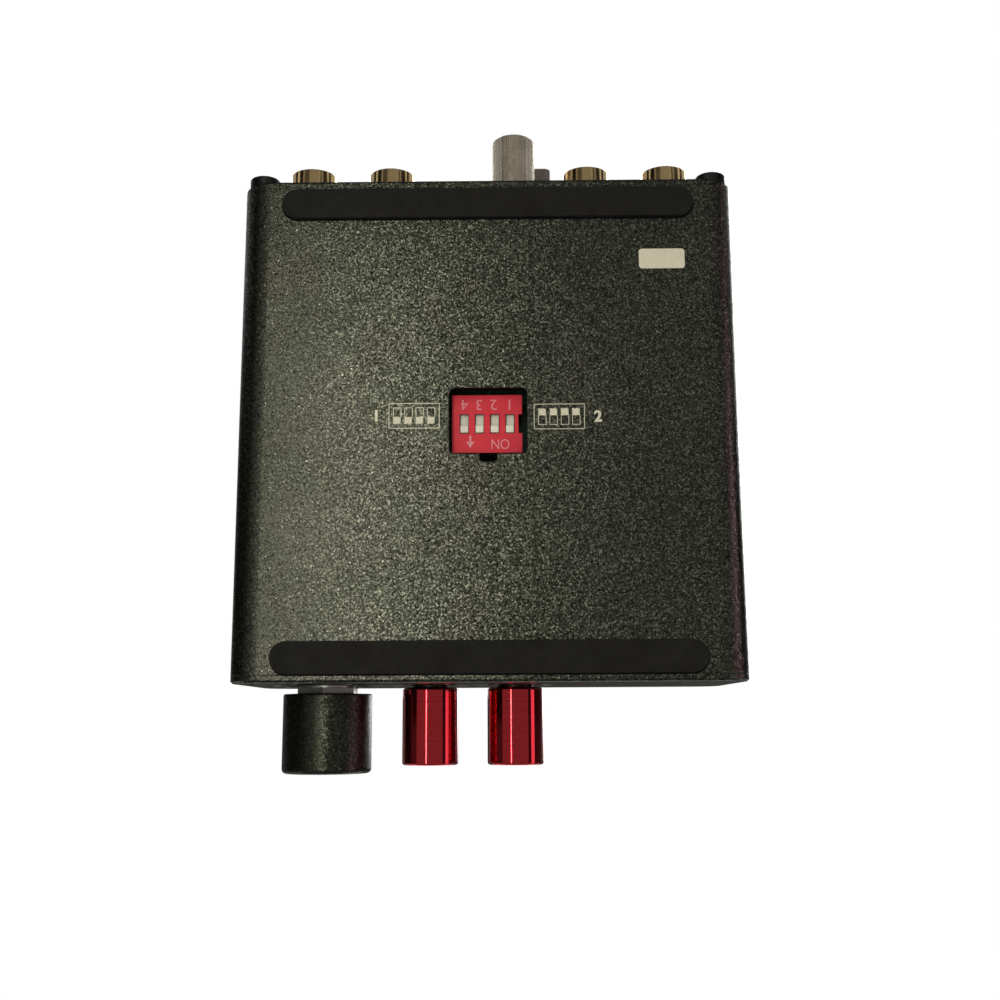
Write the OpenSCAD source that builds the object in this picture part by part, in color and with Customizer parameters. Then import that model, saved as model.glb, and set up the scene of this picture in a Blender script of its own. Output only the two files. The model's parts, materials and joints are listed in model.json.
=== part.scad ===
// Phono preamp in an extruded aluminium sleeve, with tone controls, a bottom gain switch and a ground post.
// Millimetres. +X is to the right seen from the front, +Y is towards the rear, +Z is up.
// The origin is on the surface that the foot strips stand on, under the middle of the sleeve.

/* [Sleeve] */
// Width of the sleeve
sleeve_w = 84; // [82:0.5:120]
// Height of the sleeve
sleeve_h = 36; // [34:0.5:60]
// Length of the sleeve, without its end panels
sleeve_l = 82.4; // [80:0.1:140]
// Thickness of the sleeve's walls
wall = 2; // [1.5:0.1:3]
// Radius of the sleeve's four long edges
edge_r = 5; // [4:0.1:7]
// Radius of the screw bosses in the sleeve's corners
boss_r = 2.8; // [2.4:0.1:3.2]
// Thickness of the ribs that hold the board's edges
rib_t = 1.2; // [0.8:0.1:1.6]
// Depth of those ribs
rib_depth = 1.6; // [1:0.1:3]

/* [End panels] */
// Thickness of the front and rear panels
panel_t = 1.2; // [1:0.1:3]
// Chamfer around the outer face of each panel
panel_chamfer = 0.4; // [0.2:0.05:0.6]
// Distance of the panel screws from the sleeve's side faces
screw_side_inset = 3.35; // [3.2:0.05:4]
// Distance of the panel screws from the sleeve's top and bottom faces
screw_edge_inset = 3.8; // [3.2:0.05:4.2]
// Radius of the panel screws' threads
screw_r = 1.25; // [1:0.05:1.5]
// Length of the panel screws below the head
screw_l = 8; // [5:0.5:14]
// Radius of the rear screws' heads
pan_head_r = 2.6; // [2.3:0.05:3]
// Height of the rear screws' heads
pan_head_h = 1.8; // [1.2:0.05:2.4]
// Radius of the front screws' flush heads
flush_head_r = 2.3; // [2:0.05:2.6]

/* [Foot strips] */
// Thickness of the strips
foot_t = 0.8; // [0.5:0.1:3]
// Length of the strips
foot_l = 69.7; // [50:0.1:76]
// Width of the strips
foot_w = 5.2; // [4:0.01:8]
// Gap between the front strip and the sleeve's front end
front_foot_gap = 0.15; // [0.1:0.05:6]
// Gap between the rear strip and the sleeve's rear end
rear_foot_gap = 0.55; // [0.1:0.05:6]

/* [Gain switch] */
// Size of the window in the sleeve's bottom along X
window_w = 12.87; // [12.6:0.01:16]
// Size of the window along Y
window_l = 11.14; // [10.8:0.01:14]
// Radius of the window's corners
window_r = 0.9; // [0.4:0.1:2]
// Width of the notch in the window's front edge
notch_w = 2.9; // [1.5:0.1:5]
// Depth of that notch
notch_l = 1.45; // [0.8:0.05:2]
// Depth of the switch's face under the sleeve's bottom face
switch_sink = 2.6; // [2.1:0.1:4]
// Width of the switch, along X
switch_w = 11.66; // [11:0.01:12]
// Length of the switch, along Y
switch_l = 9.87; // [9.6:0.01:10.2]
// Height of the switch
switch_h = 5.9; // [4.5:0.1:8]
// Distance between neighbouring sliders
slider_pitch = 2.54; // [2.3:0.01:2.7]
// Width of a slider
slider_w = 1.35; // [1:0.05:1.5]
// Length of the raised part of a slider
nub_l = 1.2; // [0.9:0.05:1.5]
// Travel of a slider
slider_travel = 1.8; // [1.2:0.1:2]
// Thickness of the switch's cover
cover_t = 0.75; // [0.5:0.05:1]

/* [Boards] */
// Thickness of the circuit boards
board_t = 1.6; // [1:0.1:2]
// Gap between the main board and each end panel
board_end_gap = 0.3; // [0.2:0.1:2]

/* [Phono jacks] */
// Height of the jacks' axis above the board
jack_axis_h = 6.9; // [6:0.1:10]
// Gap between the jack blocks and the ribs that hold the board
jack_rib_gap = 0.65; // [0.2:0.05:4]
// Distance between the two jacks of a pair
jack_pitch = 14.45; // [13:0.05:18]
// Outer radius of a jack's barrel
barrel_r = 4.15; // [3.9:0.05:4.4]
// Wall thickness of the barrel
barrel_wall = 0.6; // [0.4:0.05:0.9]
// Length of the barrel behind the rear panel
barrel_out = 8.55; // [7:0.05:12]
// Inner radius of the centre contact
contact_r = 1.62; // [1.6:0.01:1.7]
// Depth of a jack block
jack_block_l = 11; // [9:0.5:16]
// Thickness of a jack block beside and above its barrels
jack_block_side = 1.2; // [0.8:0.1:2]

/* [Ground post] */
// Distance of the ground post from the middle, towards the left
ground_offset = 4.6; // [3:0.1:6]
// Radius of the ground stud
stud_r = 2; // [1.5:0.1:2.4]
// Radius of the knurled thumb nut, over its ribs
thumb_nut_r = 3.87; // [3.6:0.01:4.4]
// Length of the thumb nut
thumb_nut_l = 14.5; // [8:0.1:18]
// Number of ribs round the thumb nut
thumb_nut_ribs = 30; // [24:2:48]
// Thickness of the washer under the thumb nut
ground_washer_t = 0.7; // [0.4:0.1:1.2]

/* [Power inlet and switch] */
// Gap between the inlet and the input jacks' block
inlet_gap = 0.8; // [0.3:0.1:1.5]
// Radius of the inlet's bore
inlet_bore_r = 2.85; // [2.7:0.05:3.3]
// Depth of the inlet's bore
inlet_bore_l = 9.5; // [8:0.5:12]
// Radius of the inlet's centre pin
inlet_pin_r = 1.02; // [0.9:0.01:1.3]
// Gap between the power switch and the output jacks' block
button_gap = 0.3; // [0.2:0.1:1.5]
// Height of the power button's axis above the jacks' axis
button_rise = 9; // [8.8:0.1:12]
// Width and height of the power button's cap
button_w = 7; // [5:0.1:8]
// Length of the cap behind the rear panel
button_out = 13; // [8:0.5:16]
// Travel of the power button
button_travel = 3; // [1.5:0.1:4]

/* [Controls] */
// Height of the knobs' axis above the board
knob_axis_h = 7.9; // [7.8:0.1:12]
// Distance of the volume knob's axis from the sleeve's right face
volume_side_inset = 13.9; // [13:0.1:18]
// Distance from the volume knob's axis to the treble knob's axis
volume_to_treble = 17.7; // [15:0.1:22]
// Distance from the treble knob's axis to the bass knob's axis
treble_to_bass = 14.6; // [12:0.1:20]
// Radius of the volume knob
volume_r = 7.6; // [6.8:0.1:8.5]
// Radius of the tone knobs
tone_r = 4.79; // [4.2:0.01:5.5]
// Distance from the front panel to the front end of the volume knob
volume_out = 14.7; // [10:0.1:20]
// Distance from the front panel to the front end of the tone knobs
tone_out = 13.4; // [9:0.1:18]
// Gap between the front panel and the volume knob
volume_gap = 1.4; // [1:0.1:2]
// Gap between the front panel and the tone knobs
tone_gap = 0.4; // [0.3:0.05:2]
// Radius of the controls' shafts
shaft_r = 3; // [2.5:0.05:3.2]
// Width across the flats of the volume control's nut
nut_af = 9.6; // [8.5:0.1:10.4]

/* [Headphone socket and power light] */
// Distance of the socket from the sleeve's left face
phones_side_inset = 11; // [10:0.1:16]
// Height of the socket's axis above the board
phones_axis_h = 5; // [4.5:0.1:8]
// Radius of the socket's bore
phones_bore_r = 1.78; // [1.75:0.01:1.85]
// Depth of the socket's bore
phones_bore_l = 13; // [12:0.5:15]
// Distance of the power light from the sleeve's left face
light_side_inset = 26; // [24:0.1:28]
// Radius of the power light
light_r = 1.5; // [1:0.1:2]

/* [Board parts] */
// Radius of the supply capacitors
supply_cap_r = 5; // [4:0.5:6]
// Height of the supply capacitors
supply_cap_h = 13; // [8:0.5:16]

/* [Hidden] */
$fn = 64;
round_fn = 32;       // facets of a full circle inside a hull
slide_fit = 0.1;     // gap beside a sliding piece
turn_fit = 0.04;     // radial gap round a turning shaft
hole_fit = 0.1;      // radial gap round a fixed piece in a panel
press_fit = 0.02;    // radial gap round a pressed or threaded piece
clear = 0.3;         // gap between pieces that only pass each other
eps = 0.01;

panel_y = sleeve_l / 2;                  // inner faces of both panels, from the middle
face_y = panel_y + panel_t;              // outer faces of both panels
mid_z = foot_t + sleeve_h / 2;
boss_x = sleeve_w / 2 - screw_side_inset;
boss_z = sleeve_h / 2 - screw_edge_inset;
boss_bore_r = screw_r + 0.03;
screw_hole_r = screw_r + 0.2;
flush_head_h = 1;
pan_rim = 0.35;      // rounding of the rear screws' heads
driver_size = 2.7;   // the screws' cross recess
driver_slot = 0.6;
driver_depth = 0.9;
rib_root = 0.5;      // how far a rib runs into the sleeve's wall

switch_x = 0.2;
switch_y = 0.2;
window_y = 0.12;
switch_z = foot_t + switch_sink;
board_z = switch_z + switch_h;
board_top = board_z + board_t;
board_w = sleeve_w - 2 * wall - 0.3;
board_l = sleeve_l - 2 * board_end_gap;
nub_end_gap = 0.17;  // gap between a slider's raised part and the end of its slot
slot_w = slider_w + 2 * slide_fit;
slot_l = nub_l + slider_travel + 2 * nub_end_gap;
slider_l = slot_l + slider_travel + 2 * slide_fit;
channel_l = slider_l + slider_travel + 4 * slide_fit;
slider_t = 1;
nub_proud = 0.15;
switch_notch_w = 0.6;
switch_notch_l = 3.26;
switch_row = 7.62;   // distance between the switch's two rows of pins
pin_r = 0.3;
pin_tail = 0.9;      // length of a pin above the board

jack_z = board_top + jack_axis_h;
jack_block_w = jack_pitch + 2 * (barrel_r + jack_block_side);
jack_outer_x = sleeve_w / 2 - wall - rib_depth - jack_rib_gap - jack_block_side - barrel_r;
jack_inner_x = jack_outer_x - jack_pitch;
jack_block_x = (jack_outer_x + jack_inner_x) / 2;
jack_room = jack_block_x - jack_block_w / 2;     // from the middle to either jack block
barrel_inner_r = barrel_r - barrel_wall;
barrel_neck_r = barrel_r - 0.2;                  // inside the block and the panel
barrel_in = 6;       // length of the barrel inside the block
insulator_sink = 1.4;
contact_wall = 0.35;
contact_sink = 0.3;  // depth of the contact's mouth under the insulator's face
contact_floor = 1;

ground_x = -ground_offset;
stud_out = 11;       // length of the stud behind the rear panel
stud_tail = 1;       // length of the stud in front of its inner nut
tag_t = 0.6;
tag_w = 5;
tag_ring = 0.9;      // how far the tag's ring reaches beyond its leg
tag_foot_l = 4;
inner_nut_af = 7;
inner_nut_t = 2.6;
washer_inset = 0.35; // how far the washer's rim lies inside the thumb nut's
face_gap = 0.02;     // gap between the washer and the thumb nut
knurl_depth = 0.28;
nut_chamfer = 0.3;
inlet_nose_r = inlet_bore_r + 1.15;
inlet_w = 2 * inlet_nose_r + 1;
inlet_x = jack_room - inlet_gap - inlet_w / 2;
inlet_case_l = 13.5;
inlet_roof = 0.5;    // thickness of the inlet's case above its nose
inlet_pin_sink = 0.8;
button_case_w = button_w + 1.4;
button_x = -(jack_room - button_gap - button_case_w / 2);
button_z = jack_z + button_rise;
button_case_l = 16;
button_case_y = panel_y - button_travel - 2.2;   // rear face of the switch's case
button_case_front = button_case_y - button_case_l;
button_r = 0.6;      // radius of the cap's long edges
button_chamfer = 0.4;
cap_y = panel_y - 1; // front end of the cap
stem_w = 3;
stem_grip = 3;       // length of the stem inside the cap
stem_overlap = 0.2;  // how far the stem reaches into the spring's room
case_floor = 1.5;
spring_room_l = 6.5; // length of the spring's room in the switch's case
spring_room_r = stem_w / 2 + 1.1;
spring_wire_r = 0.22;
spring_pitch = 0.55;

knob_z = board_top + knob_axis_h;
volume_x = sleeve_w / 2 - volume_side_inset;
treble_x = volume_x - volume_to_treble;
bass_x = treble_x - treble_to_bass;
bush_r = shaft_r + 0.5;
bush_out = 2.8;
washer_t = 0.4;
nut_t = 1.6;
case_gap = 0.2;      // gap between a control's case and the front panel
volume_case_w = 12.5;
volume_case_l = 9.5;
tone_case_w = 9.8;
tone_case_l = 7;
shaft_in = 0.7;      // how far a shaft runs into its control's case, as a share of its length
case_bore_in = 0.8;  // depth of the bore for it, as a share of the same length
shaft_end_gap = 0.2; // gap between a shaft's end and its knob's front wall
knob_wall = 1.8;     // thickness of a knob in front of its shaft
knob_recess_l = 2.2; // depth of the volume knob's recess for its nut
volume_edge = 0.8;   // rounding of the knobs' front edges
tone_edge = 0.45;
volume_back = 0.2;   // chamfer of the knobs' back edges
tone_back = 0.4;
tone_recess_l = 0.5; // depth of the tone knobs' recess round their shafts
nut_recess_gap = 0.7; // radial gap between the volume knob's recess and its nut
groove_w = 0.7;      // the knobs' pointer groove
groove_depth = 0.25;
groove_start = 0.35; // where the groove starts, as a share of the knob's radius
volume_l = volume_out - volume_gap;
tone_l = tone_out - tone_gap;
set_screw_r = 1.48;
set_screw_sink = 0.4;  // depth of the set screw's end under the knob's surface
set_screw_l = volume_r - shaft_r - set_screw_sink;
set_screw_y = volume_l / 2;
hex_key_r = 0.8;
hex_key_depth = 1.4;

phones_x = -sleeve_w / 2 + phones_side_inset;
phones_z = board_top + phones_axis_h;
phones_nose_r = phones_bore_r + 1.2;
phones_case_w = 2 * phones_nose_r + 3;
phones_case_l = 14;
light_x = -sleeve_w / 2 + light_side_inset;
light_l = 3.5;       // length of the power light behind the front panel
light_flange = 1;    // thickness of its flange
light_flange_r = light_r + 0.4;
spacer_w = 2 * light_r + 2.4;
spacer_l = 5;

parts_front = -panel_y + volume_case_l + 3;     // the board's free area, front edge
parts_rear = panel_y - jack_block_l - 3;        // the board's free area, rear edge
parts_mid = (parts_front + parts_rear) / 2;
small_cap_r = 2.6;
small_cap_h = 7;
film_cap = [3.4, 7.2, 6.5];
socket = [10, 8.4, 3.4];
chip = [9.6, 6.4, 3.2];
resistor_r = 1.15;
resistor_l = 5.8;
supply_inset = 11;   // from the sleeve's left face to the first pair of supply capacitors
small_inset = 10;    // from the sleeve's right face to the first pair of small ones
small_pitch = 6.5;
small_row = 8.5;     // half the distance between the two rows of small ones
film_inset = 26.7;   // from the sleeve's right face to the far film capacitor
film_pitch = 5;
chip_row = 13.5;     // from the gain switch's middle to either row of chips
chip_places = [[-3, -1], [9, -1], [3, 1]];      // across the board, and the row
regulator_inset = 31.3;
resistor_row = 26;   // from the gain switch's middle to the resistors
resistor_start = -7;
resistor_pitch = 3.2;

// ---- shared shapes ----

// A rectangle with round corners, centred
module rounded_rect(w, h, r) {
    square([w - 2 * r, h], center = true);
    square([w, h - 2 * r], center = true);
    for (x = [-1, 1], y = [-1, 1])
        translate([x * (w / 2 - r), y * (h / 2 - r)])
            circle(r);
}

// Half the section of a disc of radius r and height h, with its top edge rounded
module round_edged_half(r, h, edge) {
    square([r, h - edge]);
    square([r - edge, h]);
    intersection() {
        translate([r - edge, h - edge])
            circle(edge);
        square([r, h]);
    }
}

// A cylinder along Y from y0 to y1
module rod_y(x, z, y0, y1, r) {
    translate([x, y0, z])
        rotate([-90, 0, 0])
            cylinder(h = y1 - y0, r = r);
}

// A tube along Y from y0 to y1
module tube_y(x, z, y0, y1, outer, inner) {
    difference() {
        rod_y(x, z, y0, y1, outer);
        rod_y(x, z, y0 - 1, y1 + 1, inner);
    }
}

// A box from y0 to y1, centred on x, from z0 to z1
module box_y(x, w, y0, y1, z0, z1) {
    translate([x - w / 2, y0, z0])
        cube([w, y1 - y0, z1 - z0]);
}

// Places the children at the four panel screws, in the sleeve's own section
module at_bosses() {
    for (x = [-1, 1], z = [-1, 1])
        translate([x * boss_x, z * boss_z])
            children();
}

// Turns the children's +Z to the front, at the front panel's inner face
module at_front() {
    translate([0, -panel_y, mid_z])
        rotate([90, 0, 0])
            children();
}

// Turns the children's +Z to the rear, at the rear panel's inner face
module at_rear() {
    translate([0, panel_y, mid_z])
        rotate([-90, 0, 0])
            children();
}

// A cross-shaped recess for a driver, from z down
module cross_recess(size, depth) {
    for (turn = [0, 90])
        rotate([0, 0, turn])
            translate([-size / 2, -driver_slot / 2, -depth])
                cube([size, driver_slot, depth + 1]);
}

// ---- sleeve and panels ----

module sleeve_section() {
    difference() {
        union() {
            difference() {
                rounded_rect(sleeve_w, sleeve_h, edge_r);
                rounded_rect(sleeve_w - 2 * wall, sleeve_h - 2 * wall, edge_r - wall);
            }
            at_bosses()
                circle(boss_r);
            for (side = [-1, 1], z = [board_z - mid_z - slide_fit - rib_t, board_top - mid_z + slide_fit])
                translate([side * (sleeve_w / 2 - wall - (rib_depth - rib_root) / 2), z + rib_t / 2])
                    square([rib_depth + rib_root, rib_t], center = true);
        }
        at_bosses()
            circle(boss_bore_r);
    }
}

module window_outline() {
    translate([0, window_y])
        rounded_rect(window_w, window_l, window_r);
    translate([0, window_y - window_l / 2]) {
        square([notch_w, 2 * (notch_l - window_r)], center = true);
        translate([0, -notch_l / 2])
            rounded_rect(notch_w, notch_l, notch_l / 2 - eps);
    }
}

module sleeve() {
    color([0.16, 0.16, 0.14])
        difference() {
            translate([0, 0, mid_z])
                rotate([90, 0, 0])
                    linear_extrude(sleeve_l, center = true)
                        sleeve_section();
            translate([0, 0, foot_t - 1])
                linear_extrude(wall + 2)
                    window_outline();
        }
}

module plate() {
    hull() {
        linear_extrude(panel_t - panel_chamfer)
            rounded_rect(sleeve_w, sleeve_h, edge_r, $fn = round_fn);
        linear_extrude(panel_t)
            rounded_rect(sleeve_w - 2 * panel_chamfer, sleeve_h - 2 * panel_chamfer,
                edge_r - panel_chamfer, $fn = round_fn);
    }
}

module front_panel() {
    color([0.1, 0.09, 0.1])
        difference() {
            at_front()
                difference() {
                    plate();
                    at_bosses() {
                        translate([0, 0, -1])
                            cylinder(h = panel_t + 2, r = screw_hole_r);
                        translate([0, 0, panel_t - flush_head_h])
                            cylinder(h = flush_head_h + eps, r1 = screw_hole_r, r2 = flush_head_r + 0.05);
                    }
                }
            rod_y(volume_x, knob_z, -face_y - 1, -panel_y + 1, bush_r + hole_fit);
            rod_y(treble_x, knob_z, -face_y - 1, -panel_y + 1, shaft_r + clear);
            rod_y(bass_x, knob_z, -face_y - 1, -panel_y + 1, shaft_r + clear);
            rod_y(phones_x, phones_z, -face_y - 1, -panel_y + 1, phones_nose_r + hole_fit);
            rod_y(light_x, knob_z, -face_y - 1, -panel_y + 1, light_r + hole_fit);
        }
}

module rear_panel() {
    color([0.1, 0.09, 0.1])
        difference() {
            at_rear()
                difference() {
                    plate();
                    at_bosses()
                        translate([0, 0, -1])
                            cylinder(h = panel_t + 2, r = screw_hole_r);
                }
            for (side = [-1, 1], x = [jack_outer_x, jack_inner_x])
                rod_y(side * x, jack_z, panel_y - 1, face_y + 1, barrel_r + hole_fit);
            rod_y(ground_x, jack_z, panel_y - 1, face_y + 1, stud_r + hole_fit);
            rod_y(inlet_x, jack_z, panel_y - 1, face_y + 1, inlet_nose_r + hole_fit);
            box_y(button_x, button_w + 2 * clear, panel_y - 1, face_y + 1,
                button_z - button_w / 2 - clear, button_z + button_w / 2 + clear);
        }
}

module flush_screw() {
    difference() {
        union() {
            translate([0, 0, panel_t - flush_head_h])
                cylinder(h = flush_head_h, r1 = screw_hole_r - hole_fit, r2 = flush_head_r);
            translate([0, 0, panel_t - flush_head_h - screw_l])
                cylinder(h = screw_l + eps, r = screw_r);
        }
        translate([0, 0, panel_t])
            cross_recess(driver_size, driver_depth);
    }
}

module front_panel_screws() {
    color([0.08, 0.08, 0.08])
        at_front()
            at_bosses()
                flush_screw();
}

module pan_screw() {
    difference() {
        union() {
            translate([0, 0, panel_t])
                rotate_extrude()
                    round_edged_half(pan_head_r, pan_head_h, pan_rim);
            translate([0, 0, panel_t - screw_l])
                cylinder(h = screw_l + eps, r = screw_r);
        }
        translate([0, 0, panel_t + pan_head_h])
            cross_recess(driver_size, driver_depth);
    }
}

module rear_panel_screws() {
    color([0.08, 0.08, 0.08])
        at_rear()
            at_bosses()
                pan_screw();
}

module foot_strip(side, end_gap) {
    color([0.12, 0.12, 0.11])
        translate([0, side * (panel_y - end_gap - foot_w / 2), 0])
            linear_extrude(foot_t)
                for (x = [-1, 1]) {
                    translate([x * (foot_l - foot_w) / 2, 0])
                        circle(d = foot_w);
                    square([foot_l - foot_w, foot_w], center = true);
                }
}

// ---- boards and gain switch ----

function slider_x(i) = switch_x + (i - 2.5) * slider_pitch;

module at_switch_pins() {
    for (i = [1:4], side = [-1, 1])
        translate([slider_x(i), switch_y + side * switch_row / 2])
            children();
}

module main_board() {
    color([0.05, 0.3, 0.14])
        difference() {
            translate([-board_w / 2, -board_l / 2, board_z])
                cube([board_w, board_l, board_t]);
            at_switch_pins()
                translate([0, 0, board_z - 1])
                    cylinder(h = board_t + 2, r = pin_r + hole_fit);
        }
}

module riser_board() {
    margin = 1.8;        // how far the board reaches beyond the switch's case at each side
    color([0.05, 0.3, 0.14])
        box_y(button_x, button_case_w + 2 * margin, button_case_front - board_t, button_case_front,
            board_top, button_z + button_case_w / 2 + eps);
}

module switch_block(z0, z1) {
    difference() {
        translate([switch_x - switch_w / 2, switch_y - switch_l / 2, z0])
            cube([switch_w, switch_l, z1 - z0]);
        translate([switch_x - switch_w / 2 - 1, switch_y - switch_notch_l / 2, z0 - 1])
            cube([1 + switch_notch_w, switch_notch_l, z1 - z0 + 2]);
    }
}

module gain_switch_cover() {
    color([0.72, 0.1, 0.16])
        difference() {
            switch_block(switch_z, switch_z + cover_t);
            for (i = [1:4])
                translate([slider_x(i) - slot_w / 2, switch_y - slot_l / 2, switch_z - 1])
                    cube([slot_w, slot_l, cover_t + 2]);
        }
}

module gain_switch_base() {
    color([0.6, 0.08, 0.13])
        difference() {
            switch_block(switch_z + cover_t, board_z);
            for (i = [1:4])
                translate([slider_x(i) - slot_w / 2, switch_y - channel_l / 2, switch_z])
                    cube([slot_w, channel_l, cover_t + slider_t + 2 * slide_fit]);
        }
}

module gain_switch_pins() {
    color([0.75, 0.75, 0.72])
        at_switch_pins()
            translate([0, 0, board_z])
                cylinder(h = board_t + pin_tail, r = pin_r);
}

module gain_slider(i) {
    front = switch_y - slot_l / 2 - slide_fit - slider_travel;
    nub_front = switch_y - slot_l / 2 + nub_end_gap;
    base_z = switch_z + cover_t + slide_fit;
    color([0.85, 0.81, 0.68])
        union() {
            translate([slider_x(i) - slider_w / 2, front, base_z])
                cube([slider_w, slider_l, slider_t]);
            translate([slider_x(i) - slider_w / 2, nub_front, switch_z - nub_proud])
                cube([slider_w, nub_l, base_z - switch_z + nub_proud + slider_t / 2]);
        }
}

// ---- phono jacks ----

module jack_block(side) {
    color([0.09, 0.09, 0.09])
        difference() {
            box_y(side * jack_block_x, jack_block_w, panel_y - jack_block_l, panel_y,
                board_top, jack_z + barrel_r + jack_block_side);
            for (x = [jack_outer_x, jack_inner_x])
                rod_y(side * x, jack_z, panel_y - barrel_in, panel_y + 1, barrel_neck_r + press_fit);
        }
}

module barrel(x) {
    color([0.8, 0.6, 0.25])
        difference() {
            union() {
                rod_y(x, jack_z, panel_y - barrel_in, face_y + eps, barrel_neck_r);
                rod_y(x, jack_z, face_y, face_y + barrel_out, barrel_r);
            }
            rod_y(x, jack_z, panel_y - barrel_in - 1, face_y + barrel_out + 1, barrel_inner_r);
        }
}

module insulator(x) {
    tube_y(x, jack_z, panel_y - barrel_in, face_y + barrel_out - insulator_sink,
        barrel_inner_r - press_fit, contact_r + contact_wall + press_fit);
}

module left_jack_insulators() {
    color([0.92, 0.92, 0.9])
        for (side = [-1, 1])
            insulator(side * jack_inner_x);
}

module right_jack_insulators() {
    color([0.7, 0.08, 0.08])
        for (side = [-1, 1])
            insulator(side * jack_outer_x);
}

module jack_center_contacts() {
    color([0.8, 0.62, 0.3])
        for (side = [-1, 1], x = [jack_outer_x, jack_inner_x])
            difference() {
                rod_y(side * x, jack_z, panel_y - barrel_in,
                    face_y + barrel_out - insulator_sink - contact_sink, contact_r + contact_wall);
                rod_y(side * x, jack_z, panel_y - barrel_in + contact_floor, face_y + barrel_out, contact_r);
            }
}

// ---- ground post ----

function rib_points(n, outer, inner) = [for (i = [0:4 * n - 1])
    let (a = 360 * i / (4 * n), r = (i % 4 < 2) ? outer : inner)
    [r * cos(a), r * sin(a)]];

module ground_stud() {
    front = panel_y - tag_t - inner_nut_t - stud_tail;
    color([0.72, 0.58, 0.3])
        rod_y(ground_x, jack_z, front, face_y + stud_out, stud_r);
}

module ground_inner_nut() {
    y = panel_y - tag_t - inner_nut_t;
    color([0.7, 0.7, 0.68])
        difference() {
            translate([ground_x, y, jack_z])
                rotate([-90, 0, 0])
                    cylinder(h = inner_nut_t, d = inner_nut_af / cos(30), $fn = 6);
            rod_y(ground_x, jack_z, y - 1, y + inner_nut_t + 1, stud_r + press_fit);
        }
}

module ground_tag() {
    color([0.78, 0.78, 0.76])
        difference() {
            union() {
                rod_y(ground_x, jack_z, panel_y - tag_t, panel_y, tag_w / 2 + tag_ring);
                box_y(ground_x, tag_w, panel_y - tag_t, panel_y, board_top, jack_z);
                box_y(ground_x, tag_w, panel_y - tag_foot_l, panel_y, board_top, board_top + tag_t);
            }
            rod_y(ground_x, jack_z, panel_y - tag_t - 1, panel_y + 1, stud_r + hole_fit);
        }
}

module ground_washer() {
    color([0.75, 0.72, 0.66])
        tube_y(ground_x, jack_z, face_y + eps, face_y + ground_washer_t, thumb_nut_r - washer_inset,
            stud_r + turn_fit);
}

module ground_thumb_nut() {
    y = face_y + ground_washer_t + face_gap;
    color([0.56, 0.52, 0.46])
        difference() {
            intersection() {
                translate([ground_x, y, jack_z])
                    rotate([-90, 0, 0])
                        linear_extrude(thumb_nut_l)
                            polygon(rib_points(thumb_nut_ribs, thumb_nut_r, thumb_nut_r - knurl_depth));
                translate([ground_x, y, jack_z])
                    rotate([-90, 0, 0])
                        union() {
                            cylinder(h = thumb_nut_l - nut_chamfer, r = thumb_nut_r + 1);
                            translate([0, 0, thumb_nut_l - nut_chamfer - eps])
                                cylinder(h = nut_chamfer + eps, r1 = thumb_nut_r,
                                    r2 = thumb_nut_r - nut_chamfer);
                        }
            }
            rod_y(ground_x, jack_z, y - 1, face_y + stud_out + 1, stud_r + turn_fit);
        }
}

// ---- power inlet and power switch ----

module dc_inlet_body() {
    rear = panel_y - hole_fit;
    color([0.07, 0.07, 0.07])
        difference() {
            union() {
                box_y(inlet_x, inlet_w, rear - inlet_case_l, rear,
                    board_top, jack_z + inlet_nose_r + inlet_roof);
                rod_y(inlet_x, jack_z, rear - eps, face_y, inlet_nose_r);
            }
            rod_y(inlet_x, jack_z, face_y - inlet_bore_l, face_y + 1, inlet_bore_r);
        }
}

module dc_inlet_pin() {
    color([0.8, 0.8, 0.78])
        rod_y(inlet_x, jack_z, face_y - inlet_bore_l, face_y - inlet_pin_sink, inlet_pin_r);
}

module power_switch_case() {
    w = button_case_w;
    bore = stem_w + 2 * slide_fit;
    room_y = button_case_front + case_floor;
    stem_y = room_y + spring_room_l;
    color([0.1, 0.1, 0.11])
        difference() {
            box_y(button_x, w, button_case_front, button_case_y, button_z - w / 2, button_z + w / 2);
            box_y(button_x, bore, stem_y, button_case_y + 1, button_z - bore / 2, button_z + bore / 2);
            rod_y(button_x, button_z, room_y, stem_y + eps, spring_room_r);
        }
}

function coil_point(a, r, pitch, c) = [r * cos(a) + c[0], c[1] + pitch * a / 360, c[2] + r * sin(a)];

// A wire coil along Y, as rings of points joined by quads
module coil(centre, r, wire_r, pitch, turns) {
    steps = 14 * turns;
    sides = 8;
    points = [for (i = [0:steps], j = [0:sides - 1])
        let (a = 360 * turns * i / steps, b = 360 * j / sides, p = coil_point(a, r, pitch, centre))
        [p[0] + wire_r * cos(b) * cos(a), p[1] + wire_r * sin(b), p[2] + wire_r * cos(b) * sin(a)]];
    walls = [for (i = [0:steps - 1], j = [0:sides - 1])
        [i * sides + j, (i + 1) * sides + j, (i + 1) * sides + (j + 1) % sides, i * sides + (j + 1) % sides]];
    start = [[for (j = [0:sides - 1]) j]];
    finish = [[for (j = [sides - 1:-1:0]) steps * sides + j]];
    polyhedron(points, concat(walls, start, finish), convexity = 10);
}

// Drawn at its pressed length, so that the stem stays clear of it over the whole travel
module power_switch_spring() {
    front = button_case_front + case_floor + spring_wire_r + hole_fit;
    color([0.7, 0.7, 0.7])
        coil([button_x, front, button_z], stem_w / 2 + 0.5, spring_wire_r, spring_pitch, 4);
}

module power_button_stem() {
    front = button_case_front + case_floor + spring_room_l - stem_overlap;
    color([0.85, 0.85, 0.82])
        box_y(button_x, stem_w, front, cap_y + stem_grip, button_z - stem_w / 2, button_z + stem_w / 2);
}

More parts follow.
